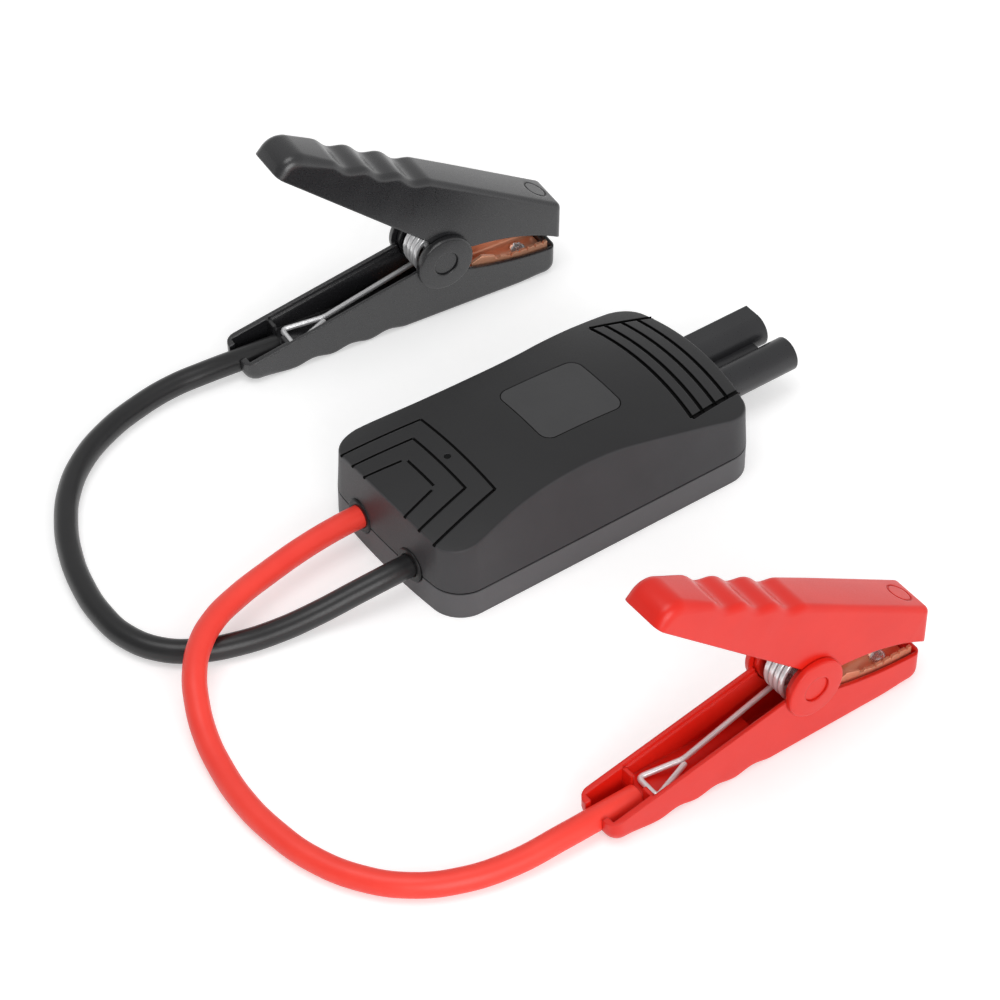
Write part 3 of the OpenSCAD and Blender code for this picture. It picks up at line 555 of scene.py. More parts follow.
def make_spring(side):
    place = clamp_matrix(side) @ Matrix.Translation((0, 0, PIVOT_Z))
    lower, coil, upper, half = spring_paths()
    made = {}
    for part, line, body in (
        ("lower_leg", lower, "root"), ("coil", coil, None), ("upper_leg", upper, f"{side}_jaw"),
    ):
        name = f"{side}_spring_{part}"
        mesh = wire_mesh(name, [place @ p for p in line], WIRE_R * MM)
        made[part] = add_piece(name, mesh, WIRE, body, "steel", f"{side}_spring")
    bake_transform(made["coil"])


for side in CLAMPS:
    make_spring(side)


# Box: the top's surface and the ends' outline, as in the solids
TOP_H, ARCH_R, CROWN_R, ARCH_X = 27, 225, 100, -6
HALF_W, SIDE_X, CORNER_R = 27, 45.7, 8.5
CORNER_Y = HALF_W - CORNER_R
END_BOW, PLUG_BOW = 1.8, 3.6
LINE_STEP = 1.5


def top_z(x, y):
    across = ARCH_R - CROWN_R + math.sqrt(CROWN_R ** 2 - y * y)
    return TOP_H - ARCH_R + math.sqrt(across ** 2 - (x - ARCH_X) ** 2)


def end_arc(bow):
    """Radius of an end's bow, and where its centre and the corners' centres lie."""
    radius = (HALF_W ** 2 + bow ** 2) / (2 * bow)
    centre = SIDE_X + bow - radius
    return radius, centre, centre + math.sqrt((radius - CORNER_R) ** 2 - CORNER_Y ** 2)


def end_x(y, bow):
    radius, centre, corner = end_arc(bow)
    if abs(y) <= CORNER_Y:
        return centre + math.sqrt(radius ** 2 - y * y)
    return corner + math.sqrt(CORNER_R ** 2 - (abs(y) - CORNER_Y) ** 2)


def between(a, b):
    """Points on the straight line from a to b, a short step apart."""
    count = max(1, math.ceil(math.dist(a, b) / LINE_STEP))
    return [(a[0] + (b[0] - a[0]) * i / count, a[1] + (b[1] - a[1]) * i / count) for i in range(count + 1)]


def add_bar(bm, line, section, closed=False):
    """A bar along a line on the top, with a section of (across, down) points measured from the surface."""
    rings = []
    last = len(line) - 1
    for i, (x, y) in enumerate(line):
        before = line[i - 1] if i or closed else line[i]
        after = line[(i + 1) % len(line)] if i < last or closed else line[i]
        run = Vector((after[0] - before[0], after[1] - before[1])).normalized()
        ring = []
        for across, down in section:
            px, py = x - run.y * across, y + run.x * across
            ring.append(bm.verts.new(mm(px, py, top_z(px, py) - down)))
        rings.append(ring)
    bridge(bm, rings, closed)
    if not closed:
        bm.faces.new(list(reversed(rings[0])))
        bm.faces.new(rings[-1])


def bars(lines, section, closed=False):
    bm = bmesh.new()
    for line in lines:
        add_bar(bm, line, section, closed)
    return bm


def plate_cutter(line, up, down):
    """Everything over an outline on the top, to a depth under the surface."""
    bm = bmesh.new()
    tops = [bm.verts.new(mm(x, y, top_z(x, y) + up)) for x, y in line]
    lows = [bm.verts.new(mm(x, y, top_z(x, y) - down)) for x, y in line]
    bridge(bm, [tops, lows])
    bm.faces.new(tops)
    bm.faces.new(list(reversed(lows)))
    return bm


# Grooves of the box, finer at the cable end than at the plug end.
# Each chevron has its tip's place, half its width at the tip and at the box's end, and a gap at its corners.
CHEVRONS = [(-25.5, 15.3, 19.5, 0), (-31, 10.8, 14, 0), (-36.5, 6.3, 8.6, 1)]
CHEVRON_PAST = 0.2
RIB_X, RIB_R, RIB_Y, RIB_SLOPE, RIB_POINTS = (31.6, 35.5, 40, 44.3), 165, 20.5, 0.2, 31
RIB_SAG = RIB_R - math.sqrt(RIB_R ** 2 - RIB_Y ** 2)
FINE_W, FINE_D, RIB_W, RIB_D = 0.7, 0.4, 1.12, 0.55
LABEL_X, LABEL_HALF_L, LABEL_HALF_W, LABEL_R, LABEL_STEPS = 5.5, 12, 10.25, 3, 8


def block(width, up, down):
    return [(-width / 2, -up), (width / 2, -up), (width / 2, down), (-width / 2, down)]


def chevron_tips():
    for tip, tip_y, _, gap in CHEVRONS:
        reach = tip_y - gap + CHEVRON_PAST
        yield between((tip, -reach), (tip, reach))


def chevron_sides(past):
    end = SIDE_X + END_BOW
    for tip, tip_y, end_y, gap in CHEVRONS:
        start = -past - end_x(end_y, END_BOW)
        start_y = end_y + (tip_y - end_y) * (start + end) / (tip + end)
        for s in (-1, 1):
            yield between((start, s * start_y), (tip - gap, s * tip_y))


def rib_y(x):
    return RIB_Y - RIB_SLOPE * (x - RIB_X[0])


def rib_arcs():
    for x in RIB_X:
        reach = rib_y(x - RIB_SAG)
        yield [(x - RIB_R + math.sqrt(RIB_R ** 2 - y * y), y) for y in np.linspace(-reach, reach, RIB_POINTS)]


def rib_sides(past):
    ends = (RIB_X[0] - RIB_SAG, end_x(rib_y(SIDE_X), PLUG_BOW) + past)
    for s in (-1, 1):
        yield between(*[(x, s * rib_y(x)) for x in ends])


def label_line(grow):
    half_l, half_w, r = LABEL_HALF_L + grow, LABEL_HALF_W + grow, LABEL_R + grow
    line = []
    for sx, sy, start in ((1, 1, 0), (-1, 1, 90), (-1, -1, 180), (1, -1, 270)):
        for i in range(LABEL_STEPS + 1):
            a = math.radians(start + 90 * i / LABEL_STEPS)
            line.append((LABEL_X + sx * (half_l - r) + r * math.cos(a), sy * (half_w - r) + r * math.sin(a)))
    return line


# Upper case: the solid's outline and top, with flanks that flow round the corners and a soft crease
PARTING_Z, CREASE_R = 8.15, 0.6
INSET_X = (-40, -36.6, -30.6, -23.7, -15.3, -6.3, 1, 7.4, 16.5, 25.8, 35.6, 40.5)
INSET = (1.7, 2.1, 3.3, 4.6, 5.6, 6.1, 6.1, 5.7, 4.4, 3.2, 2.2, 1.7)
END_INSET, CORNER_INSET = 0.25, 1.85
BOW_STEPS, CORNER_STEPS, SIDE_STEPS = 16, 20, 90
FLANK_STEPS, CREASE_STEPS, TOP_STEPS, SPINE = 6, 6, 18, 0.55
CASE_WELD, CASE_SLIVER = 2e-6, 1e-7
CUT_UP, PAST_END, LABEL_GAP, LABEL_D = 0.8, 1, 0.3, 0.62
LIGHT_X, LIGHT_R, LIGHT_D, LIGHT_SIDES = -28.5, 0.9, 2.5, 24


def inset_at(x):
    """How far the crease stands in from the side, on a smooth curve through the points above."""
    xs, ys = np.array(INSET_X), np.array(INSET)
    slopes = np.gradient(ys, xs)
    i = min(max(int(np.searchsorted(xs, x)) - 1, 0), len(xs) - 2)
    h = xs[i + 1] - xs[i]
    k = (x - xs[i]) / h
    return ((1 + 2 * k) * (1 - k) ** 2 * ys[i] + k * (1 - k) ** 2 * h * slopes[i]
            + k * k * (3 - 2 * k) * ys[i + 1] + k * k * (k - 1) * h * slopes[i + 1])


def half_rim(bow, sign):
    """Outline from the middle of an end to the side: point, outward direction and crease inset."""
    radius, centre, corner = end_arc(bow)
    swing = math.asin(CORNER_Y / (radius - CORNER_R))
    found = []
    for i in range(BOW_STEPS):
        a = swing * i / BOW_STEPS
        nx, ny = math.cos(a), math.sin(a)
        found.append((centre + radius * nx, radius * ny, nx, ny, END_INSET))
    for i in range(CORNER_STEPS + 1):
        k = i / CORNER_STEPS
        a = swing + (math.pi / 2 - swing) * k
        nx, ny = math.cos(a), math.sin(a)
        inset = END_INSET + (CORNER_INSET - END_INSET) * ease(k)
        found.append((corner + CORNER_R * nx, CORNER_Y + CORNER_R * ny, nx, ny, inset))
    return [(sign * x, y, sign * nx, ny, inset) for x, y, nx, ny, inset in found]


def case_rim():
    plug, cable = half_rim(PLUG_BOW, 1), half_rim(END_BOW, -1)
    x0, x1 = plug[-1][0], cable[-1][0]
    along = [x0 + (x1 - x0) * i / SIDE_STEPS for i in range(1, SIDE_STEPS)]
    half = [*plug, *[(x, HALF_W, 0, 1, inset_at(x)) for x in along], *reversed(cable)]
    return [*half, *[(x, -y, nx, -ny, inset) for x, y, nx, ny, inset in reversed(half[1:-1])]]


def case_profile(x, y, nx, ny, inset):
    """One line over the case: up the flank, round the crease and in to the middle."""
    tx, ty = x - inset * nx, y - inset * ny
    foot, edge = Vector((x, y, PARTING_Z)), Vector((tx, ty, top_z(tx, ty)))
    qx, qy = tx - CREASE_R * nx, ty - CREASE_R * ny
    low = edge + (foot - edge).normalized() * CREASE_R
    line = [foot.lerp(low, i / FLANK_STEPS) for i in range(FLANK_STEPS)]
    line += curve(low, edge, Vector((qx, qy, top_z(qx, qy))), CREASE_STEPS)
    for i in range(1, TOP_STEPS + 1):
        flat = Vector((qx, qy)).lerp(Vector((SPINE * qx, 0)), i / TOP_STEPS)
        line.append(Vector((flat.x, flat.y, top_z(flat.x, flat.y))))
    return line


def case_block():
    bm = bmesh.new()
    lines = [[bm.verts.new(v * MM) for v in case_profile(*point)] for point in case_rim()]
    for a, b in zip(lines, lines[1:] + lines[:1]):
        for j in range(len(a) - 1):
            bm.faces.new((a[j], b[j], b[j + 1], a[j + 1]))
    bm.faces.new([line[0] for line in lines])
    bmesh.ops.remove_doubles(bm, verts=bm.verts, dist=CASE_WELD)
    bmesh.ops.dissolve_degenerate(bm, edges=bm.edges, dist=CASE_SLIVER)
    bmesh.ops.recalc_face_normals(bm, faces=bm.faces)
    return mesh_from(bm, "upper_case_form")


def make_upper_case():
    fine, rib = block(FINE_W, CUT_UP, FINE_D), block(RIB_W, CUT_UP, RIB_D)
    mesh = carved(case_block(), [
        bars(chevron_sides(PAST_END), fine),
        bars(chevron_tips(), fine),
        bars(rib_arcs(), rib),
        bars(rib_sides(PAST_END), rib),
        plate_cutter(label_line(LABEL_GAP), CUT_UP, LABEL_D),
        plate_cutter(circle(LIGHT_X, 0, LIGHT_R, LIGHT_SIDES), CUT_UP, LIGHT_D),
    ])
    form_piece("upper_case_form", mesh, CASE, "root", "case_plastic", "upper_case")


# Painted shade: near-black linings in the grooves, a dark line round the label and a dark strip between the
# two halves of the box
LINING_SKIN, LINING_RIM, LINING_GAP, LINING_SHORT = 0.06, 0.01, 0.005, 0.06
EDGE_GROW, EDGE_W, EDGE_TOP, EDGE_D = 0.19, 0.33, 0.03, 0.3
SEAM_IN, SEAM_W, SEAM_LOW, SEAM_HIGH = 0.32, 0.6, 7.55, 8.25


def trough(width, depth):
    """The painted shade in a groove: a floor and two thin walls."""
    w, floor = width / 2 - LINING_GAP, depth - LINING_SKIN
    inner = w - LINING_SKIN
    return [(-w, LINING_RIM), (-w, depth), (w, depth), (w, LINING_RIM),
            (inner, LINING_RIM), (inner, floor), (-inner, floor), (-inner, LINING_RIM)]


def make_groove_shade():
    fine, rib = trough(FINE_W, FINE_D), trough(RIB_W, RIB_D)
    for name, lines, section in (
        ("chevron_sides", chevron_sides(-LINING_SHORT), fine),
        ("chevron_tips", chevron_tips(), fine),
        ("rib_arcs", rib_arcs(), rib),
        ("rib_sides", rib_sides(-LINING_SHORT), rib),
    ):
        piece_from(bars(lines, section), name, PAINTED_SHADE, "root", "case_plastic")
    edge = bars([label_line(EDGE_GROW)], block(EDGE_W, -EDGE_TOP, EDGE_D), closed=True)
    piece_from(edge, "label_gap_shade", PAINTED_SHADE, "root", "label_plastic")


def make_seam_shade():
    # A dark strip in the gap under the upper case's edge: painted shade
    bm = bmesh.new()
    deep = SEAM_IN + SEAM_W
    section = [(SEAM_IN, SEAM_LOW), (SEAM_IN, SEAM_HIGH), (deep, SEAM_HIGH), (deep, SEAM_LOW)]
    rings = [
        [bm.verts.new(mm(x - inset * nx, y - inset * ny, z)) for inset, z in section]
        for x, y, nx, ny, _ in case_rim()
    ]
    bridge(bm, rings, closed=True)
    piece_from(bm, "case_seam_shade", PAINTED_SHADE, "root", "case_plastic")


make_upper_case()
make_groove_shade()
make_seam_shade()


# Clamp shells: blocks under a side line, with edges rounded along the grip's waves, then carved.
# How far cutters reach past the shells, and the last step of a line with its edges' radius
AHEAD, BEHIND, ACROSS, HIGH, DEEP = 60, -80, 20, 60, -30
LINE_END, LINE_END_R, FOOT_DROP, EDGE_STEPS, KNEE_STEPS, END_STEPS = 1, 0.05, 2, 6, 12, 16
WAVE_PITCH, WAVE_N, PIN_R = 10.9, 3, 2.1
# Upper shell: size, nose, handle's end, waves, edges, lug, hollows and the ring mark on its nose
UPPER_HANDLE, UPPER_NOSE, UPPER_HALF, UPPER_WALL, UPPER_LOW = 63, 34.2, 6.5, 1.5, -12
NOSE_LEAN, NOSE_EDGE, NOSE_R, NOSE_STEPS = 4.6, 12.3, 2, 10
BACK_R, BACK_END, BACK_SWEEP, BACK_STEPS = 5.8, 14.4, 80, 130
WAVE_MID, WAVE_D = -32.4, 1.25
TOP_EDGE_R, GRIP_EDGE_R, GRIP, HEEL_EDGE_R, HEEL = 1.6, 0.3, (0, 20), 0.9, (48, 58)
BACK_EDGE_R, END_EDGE_R = 2.8, 2.2
JAW_S, JAW_CURVE, LUG_R, LUG_FOOT = 7, 0.0095, 6.5, (-5.2, 3.9)
LUG_ARC, LUG_POINTS = (49.7, -216.87), 40
HANDLE_HOLLOW, JAW_HOLLOW, HOLLOW_STEP = (-59, 9, -40), (0.5, 27.6, -41, 17.5), 0.002
MARK_S, MARK_R, MARK_W, MARK_D, MARK_UP, MARK_SIDES = 23.5, 3.3, 0.5, 0.35, 1, 64
# Lower shell: size, keel, waves, edges, rim, pivot discs, floors, shelf, step inside the rim,
# stops at the shelf's end, the cable's way in and the screw's hole
LOWER_HANDLE, LOWER_NOSE, LOWER_HALF, LOWER_WALL = 57.5, 34, 6.75, 1.5
LOWER_TOP, LOWER_LEAN, NEAR_LEAN, KEEL_STEPS = -40, 0.4, 0.36, 120
LOWER_WAVE_MID, LOWER_WAVE_D, FOOT_R, KEEL_R, NOSE_FOOT_R = -27.3, 0.95, 4.2, 1.4, 3.2
NOSE_SIDE_R, HANDLE_SIDE_R, NOSE_EASE, HANDLE_EASE = 2.2, 3, 22, 44
RIM_END, RIM_SLOPE, NOSE_RIM, RIM_CURVE, NOSE_U = 6.5, 0.21, 8.3, 0.0052, 9
DISC_R, DISC_IN, DISC_OUT, DISC_EDGE, DISC_STEPS, DISC_SIDES = 7.9, 6.72, 8.4, 0.5, 5, 72
LUG_GAP, CAP_SEAT, CAP_R, CAP_SIDES = 0.3, 0.9, 3.45, 64
TAIL_FLOOR, PIVOT_FLOOR, NOSE_FLOOR, FLOOR_LAP = 1, 1.2, 5.2, 0.01
SHELF_U, SHELF_END = -45.5, -11
STEP_D, STEP_W, STEP_NOSE, STEP_TAIL, STEP_HIGH = 1.2, 0.5, 1, 0.4, 59
STOP_U, STOP_Y, STOP_HALF, STOP_IN, STOP_H = (0.1, 1.1), 3.75, 1.55, 0.1, 4
LEAD_Z, LEAD_R, LEAD_OUT, LEAD_PAST = 4, 3.1, 3, 1
SCREW_U, SCREW_HOLE = 26, ((-1, 7), 1.25)


def smooth(x, low, high):
    return ease(min(1, max(0, (x - low) / (high - low))))


def wave(from_middle):
    turn = from_middle / WAVE_PITCH
    return math.cos(math.pi * turn) ** 2 if abs(turn) < WAVE_N / 2 else 0


def upper_line():
    """The shell's back from under the nose to under the handle's end, and the radius of its edges."""
    front = math.atan2(NOSE_LEAN, UPPER_H - NOSE_EDGE)
    nose_s, nose_h = UPPER_NOSE - NOSE_LEAN - NOSE_R, UPPER_H - NOSE_R
    start_s, start_h = nose_s + NOSE_R * math.cos(front), nose_h + NOSE_R * math.sin(front)
    lean = (UPPER_NOSE - start_s) / (start_h - NOSE_EDGE)
    ends = ((UPPER_LOW, LINE_END_R), (UPPER_LOW + LINE_END, TOP_EDGE_R))
    points = [(start_s + (start_h - h) * lean, h, r) for h, r in ends]
    for i in range(NOSE_STEPS + 1):
        a = front + (math.pi / 2 - front) * i / NOSE_STEPS
        points.append((nose_s + NOSE_R * math.cos(a), nose_h + NOSE_R * math.sin(a), TOP_EDGE_R))
    back = BACK_R - UPPER_HANDLE
    for i in range(1, BACK_STEPS):
        s = nose_s + (back - nose_s) * i / BACK_STEPS
        r = TOP_EDGE_R + GRIP_EDGE_R * smooth(-s, *GRIP) + HEEL_EDGE_R * smooth(-s, *HEEL)
        points.append((s, UPPER_H - WAVE_D * wave(s - WAVE_MID), r))
    for i in range(END_STEPS + 1):
        a = math.radians(90 + BACK_SWEEP * i / END_STEPS)
        points.append((back + BACK_R * math.cos(a), UPPER_H - BACK_R + BACK_R * math.sin(a), BACK_EDGE_R))
    s, h, _ = points[-1]
    slope = (s + UPPER_HANDLE) / (h - BACK_END)
    ends = ((BACK_END, END_EDGE_R), (UPPER_LOW + LINE_END, END_EDGE_R), (UPPER_LOW, LINE_END_R))
    return points + [(s - slope * (h - z), z, r) for z, r in ends]


def lower_line():
    """The lower shell's keel, upside down, from the nose to the handle's end, and its edges' radius."""
    start, stop = LOWER_NOSE - NOSE_FOOT_R, FOOT_R - LOWER_HANDLE
    points = [(LOWER_NOSE + LOWER_LEAN, LOWER_TOP, LINE_END_R),
              (LOWER_NOSE + NEAR_LEAN, LOWER_TOP + LINE_END, NOSE_SIDE_R)]
    for i in range(KNEE_STEPS + 1):
        a = math.pi / 2 * i / KNEE_STEPS
        points.append((start + NOSE_FOOT_R * math.cos(a), NOSE_FOOT_R * (math.sin(a) - 1), NOSE_SIDE_R))
    for i in range(1, KEEL_STEPS):
        u = start + (stop - start) * i / KEEL_STEPS
        r = (KEEL_R + (NOSE_SIDE_R - KEEL_R) * smooth(u, NOSE_EASE, start)
             + (HANDLE_SIDE_R - KEEL_R) * smooth(-u, HANDLE_EASE, -stop))
        points.append((u, -LOWER_WAVE_D * wave(u - LOWER_WAVE_MID), r))
    for i in range(END_STEPS + 1):
        a = math.pi / 2 * (1 + i / END_STEPS)
        points.append((stop + FOOT_R * math.cos(a), FOOT_R * (math.sin(a) - 1), HANDLE_SIDE_R))
    return points + [(-LOWER_HANDLE - NEAR_LEAN, LOWER_TOP + LINE_END, HANDLE_SIDE_R),
                     (-LOWER_HANDLE - LOWER_LEAN, LOWER_TOP, LINE_END_R)]


def swept_block(points, half):
    """A block under a side line, with round edges along both sides of the line."""
    bm = bmesh.new()
    last, low = len(points) - 1, points[0][1] - FOOT_DROP
    angles = [math.pi / 2 * k / EDGE_STEPS for k in range(EDGE_STEPS, -1, -1)]
    rings = []
    for i, (s, h, r) in enumerate(points):
        a, b = points[max(0, i - 1)], points[min(last, i + 1)]
        run = Vector((b[0] - a[0], b[1] - a[1])).normalized()
        out = Vector((run.y, -run.x))
        edge = [(half - r * (1 - math.sin(t)), r * (1 - math.cos(t))) for t in angles]
        ring = [(-y, d) for y, d in edge] + [(y, d) for y, d in reversed(edge)]
        places = [(s - out.x * d, y, h - out.y * d) for y, d in ring]
        foot = places[0][0]
        places = [(foot, -half, low), *places, (foot, half, low)]
        rings.append([bm.verts.new(mm(*place)) for place in places])
    bridge(bm, rings)
    bm.faces.new(rings[0])
    bm.faces.new(rings[-1])
    turn_outward(bm)
    return mesh_from(bm, "block")


def side_cutter(outline, half=ACROSS):
    """A flat outline of (along, height) points, as a cutter across the width."""
    bm = bmesh.new()
    near = [bm.verts.new(mm(s, -half, h)) for s, h in outline]
    far = [bm.verts.new(mm(s, half, h)) for s, h in outline]
    bridge(bm, [near, far])
    flats = [bm.faces.new(near), bm.faces.new(far)]
    bmesh.ops.triangulate(bm, faces=flats)
    return bm


def window(s0, s1, low, high):
    return [(s0, low), (s1, low), (s1, high), (s0, high)]


def ring_cutter(s, low, high, outer, inner):
    """A ring groove's cutter, standing on a level face."""
    bm = bmesh.new()
    loops = [
        [bm.verts.new(mm(*place, z)) for place in circle(s, 0, radius, MARK_SIDES)]
        for radius, z in ((outer, low), (outer, high), (inner, high), (inner, low))
    ]
    bridge(bm, loops, closed=True)
    return bm


def rod_cutter(start, stop, r, count=48):
    """A round bar between two points."""
    bm = bmesh.new()
    start, stop = Vector(start), Vector(stop)
    n = (stop - start).orthogonal().normalized()
    b = (stop - start).cross(n).normalized()
    loops = [
        [bm.verts.new((end + r * (math.cos(w) * n + math.sin(w) * b)) * MM) for w in turns(count)]
        for end in (start, stop)
    ]
    bridge(bm, loops)
    for loop in loops:
        bm.faces.new(loop)
    return bm


def box_block(lo, hi):
    bm = bmesh.new()
    size = Vector(hi) - Vector(lo)
    middle = (Vector(hi) + Vector(lo)) / 2
    place = Matrix.Translation(middle * MM) @ Matrix.Diagonal((*(size * MM), 1))
    bmesh.ops.create_cube(bm, size=1, matrix=place)
    return bm


def disc_block(side):
    """A pivot disc with a rounded outer edge, on one side of the shell."""
    profile = [(DISC_IN, DISC_R)]
    for i in range(DISC_STEPS + 1):
        a = math.pi / 2 * i / DISC_STEPS
        profile.append((DISC_OUT - DISC_EDGE + DISC_EDGE * math.sin(a),
                        DISC_R - DISC_EDGE + DISC_EDGE * math.cos(a)))
    bm = bmesh.new()
    loops = [
        [bm.verts.new(mm(x, side * y, z)) for x, z in circle(0, PIVOT_Z, r, DISC_SIDES)]
        for y, r in profile
    ]
    bridge(bm, loops)
    bm.faces.new(loops[0])
    bm.faces.new(loops[-1])
    return bm


def under_upper():
    """Outline of everything under the upper shell: the jaw's edge, the pivot lug and the handle's edge."""
    edge = []
    for i in range(KNEE_STEPS + 1):
        s = UPPER_NOSE + (JAW_S - UPPER_NOSE) * i / KNEE_STEPS
        edge.append((s, NOSE_EDGE - JAW_CURVE * (UPPER_NOSE - s) ** 2))
    lug = [math.radians(a) for a in np.linspace(*LUG_ARC, LUG_POINTS)]
    edge += [(LUG_R * math.cos(a), LUG_R * math.sin(a)) for a in lug]
    foot_s, foot_h = LUG_FOOT
    slope = (BACK_END - foot_h) / (UPPER_HANDLE + foot_s)
    tail = [(BEHIND, foot_h + slope * (foot_s - BEHIND)), (BEHIND, DEEP)]
    return [(AHEAD, DEEP), (AHEAD, NOSE_EDGE), *edge, *tail]


def handle_rim(u):
    return RIM_END + RIM_SLOPE * (LOWER_HANDLE + u)


def rim_line(drop=0, nose=LOWER_NOSE):
    """The lower shell's rim from the nose to the pivot."""
    line = []
    for i in range(KNEE_STEPS + 1):
        u = nose + (NOSE_U - nose) * i / KNEE_STEPS
        line.append((u, NOSE_RIM + RIM_CURVE * (LOWER_NOSE - u) ** 2 - drop))
    return [*line, (-LUG_R, handle_rim(-LUG_R) - drop)]


def upper_form():
    inner = UPPER_HALF - UPPER_WALL
    return carved(swept_block(upper_line(), UPPER_HALF), [
        side_cutter(under_upper()),
        side_cutter(window(*HANDLE_HOLLOW, UPPER_H - UPPER_ROOF), inner),
        side_cutter(window(*JAW_HOLLOW), inner - HOLLOW_STEP),
        side_cutter(circle(0, 0, PIN_R)),
        ring_cutter(MARK_S, UPPER_H - MARK_D, UPPER_H + MARK_UP, MARK_R, MARK_R - MARK_W),
    ])


def lower_form():
    inner = LOWER_HALF - LOWER_WALL
    tail_in, nose_in = LOWER_WALL - LOWER_HANDLE, LOWER_NOSE - LOWER_WALL
    mesh = swept_block(lower_line(), LOWER_HALF)
    mesh.transform(Matrix.Diagonal((1, 1, -1, 1)))
    mesh.flip_normals()
    above = [(AHEAD, HIGH), (AHEAD, NOSE_RIM), *rim_line(), (BEHIND, handle_rim(BEHIND)), (BEHIND, HIGH)]
    mesh = carved(mesh, [
        side_cutter(above),
        side_cutter(circle(0, PIVOT_Z, LUG_R + LUG_GAP, DISC_SIDES)),
    ])
    mesh = carved(mesh, [disc_block(-1), disc_block(1)], "UNION")
    floors = [
        (tail_in, SHELF_U, TAIL_FLOOR),
        (SHELF_U - FLOOR_LAP, SHELF_END, SHELF_Z),
        (SHELF_END - FLOOR_LAP, NOSE_U + 3 * FLOOR_LAP, PIVOT_FLOOR),
        (NOSE_U + 2 * FLOOR_LAP, nose_in, NOSE_FLOOR),
    ]
    step_nose, step_tail = LOWER_NOSE - STEP_NOSE, SHELF_U + STEP_TAIL
    step = [*rim_line(STEP_D, step_nose), (step_tail, handle_rim(step_tail) - STEP_D),
            (step_tail, STEP_HIGH), (step_nose, STEP_HIGH)]
    (screw_low, screw_high), screw_r = SCREW_HOLE
    mesh = carved(mesh, [
        *[box_block((u0, -inner, z), (u1, inner, HIGH)) for u0, u1, z in floors],
        side_cutter(step, inner + STEP_W),
        rod_cutter((BEHIND, 0, LEAD_Z), (SHELF_U, 0, LEAD_Z), LEAD_R),
        box_block((-LOWER_HANDLE - LEAD_OUT, -LEAD_R, LEAD_Z), (tail_in + LEAD_PAST, LEAD_R, HIGH)),
        rod_cutter((0, -ACROSS, PIVOT_Z), (0, ACROSS, PIVOT_Z), PIN_R),
        *[rod_cutter((0, s * (DISC_OUT - CAP_SEAT), PIVOT_Z), (0, s * ACROSS, PIVOT_Z), CAP_R, CAP_SIDES)
          for s in (-1, 1)],
        rod_cutter((SCREW_U, 0, screw_low), (SCREW_U, 0, screw_high), screw_r),
    ])
    stops = []
    for s in (-1, 1):
        stops.append(box_block((SHELF_U + STOP_U[0], s * STOP_Y - STOP_HALF, SHELF_Z - STOP_IN),
                               (SHELF_U + STOP_U[1], s * STOP_Y + STOP_HALF, SHELF_Z + STOP_H)))
    return carved(mesh, stops, "UNION")


def make_shells():
    upper, lower = upper_form(), lower_form()
    for side, plastic in PLASTICS.items():
        for part, form, place, body in (
            ("upper", upper, jaw_matrix(side), f"{side}_jaw"), ("lower", lower, clamp_matrix(side), "root"),
        ):
            mesh = form.copy()
            mesh.transform(place @ Matrix.Scale(1 / MM, 4))
            form_piece(f"{side}_{part}_form", mesh, plastic, body, f"{side}_plastic", f"{side}_{part}_shell")
    bpy.data.meshes.remove(upper)
    bpy.data.meshes.remove(lower)


make_shells()


# Grommets: a rolled lip outside the wall, with a shallow neck behind it
GROMMET_Y, GROMMET_Z = 10.5, 8.5
GROMMET_OUT, GROMMET_SEAT, GROMMET_IN = -47.731, -46.731, -43.731
GROMMET_BORE, GROMMET_NECK, GROMMET_R = 3.05, 3.9, 4.6
LIP_R, LIP_STEPS, MOUTH_R, MOUTH_STEPS = 0.48, 6, 0.3, 4
GROMMET_SIDES, GROMMET_WELD = 48, 1e-7


def bend(x, y, radius, a0, a1, n):
    """Points on a round bend from one angle to another."""
    angles = [math.radians(a0 + (a1 - a0) * i / n) for i in range(n + 1)]
    return [(x + radius * math.cos(a), y + radius * math.sin(a)) for a in angles]


def make_grommet(name, y):
    """A profile of (along, radius) points, turned about the cable."""
    profile = [
        (GROMMET_IN, GROMMET_BORE),
        *bend(GROMMET_OUT + MOUTH_R, GROMMET_BORE + MOUTH_R, MOUTH_R, 270, 180, MOUTH_STEPS),
        *bend(GROMMET_OUT + LIP_R, GROMMET_R - LIP_R, LIP_R, 180, 90, LIP_STEPS),
        (GROMMET_SEAT, GROMMET_R), (GROMMET_SEAT, GROMMET_NECK), (GROMMET_IN, GROMMET_NECK),
        (GROMMET_IN, GROMMET_BORE),
    ]
    place = Matrix.Scale(MM, 4) @ Matrix.Translation((0, y, GROMMET_Z))
    bm = bmesh.new()
    bridge(bm, [
        [bm.verts.new(place @ Vector((along, *point))) for point in circle(0, 0, radius, GROMMET_SIDES)]
        for along, radius in profile
    ])
    bmesh.ops.remove_doubles(bm, verts=bm.verts, dist=GROMMET_WELD)
    piece_from(bm, f"{name}_collar", COLLAR, "root", "black_rubber", name, smooth=True)


make_grommet("red_grommet", GROMMET_Y)
make_grommet("black_grommet", -GROMMET_Y)


# Web between the plug's barrels
WEB_LOW, WEB_HIGH = (SIDE_X + PLUG_BOW + 1, -2.1, 8.9), (SIDE_X + PLUG_BOW + 19, 2.1, 10.9)
WEB_EDGE, WEB_STEPS = 0.5 * MM, 3


def make_web():
    bm = box_block(WEB_LOW, WEB_HIGH)
    bmesh.ops.bevel(bm, geom=bm.edges[:], offset=WEB_EDGE, segments=WEB_STEPS, profile=0.5, affect="EDGES")
    piece_from(bm, "plug_web", PLUG, "root", "plug_plastic", smooth=True)


make_web()


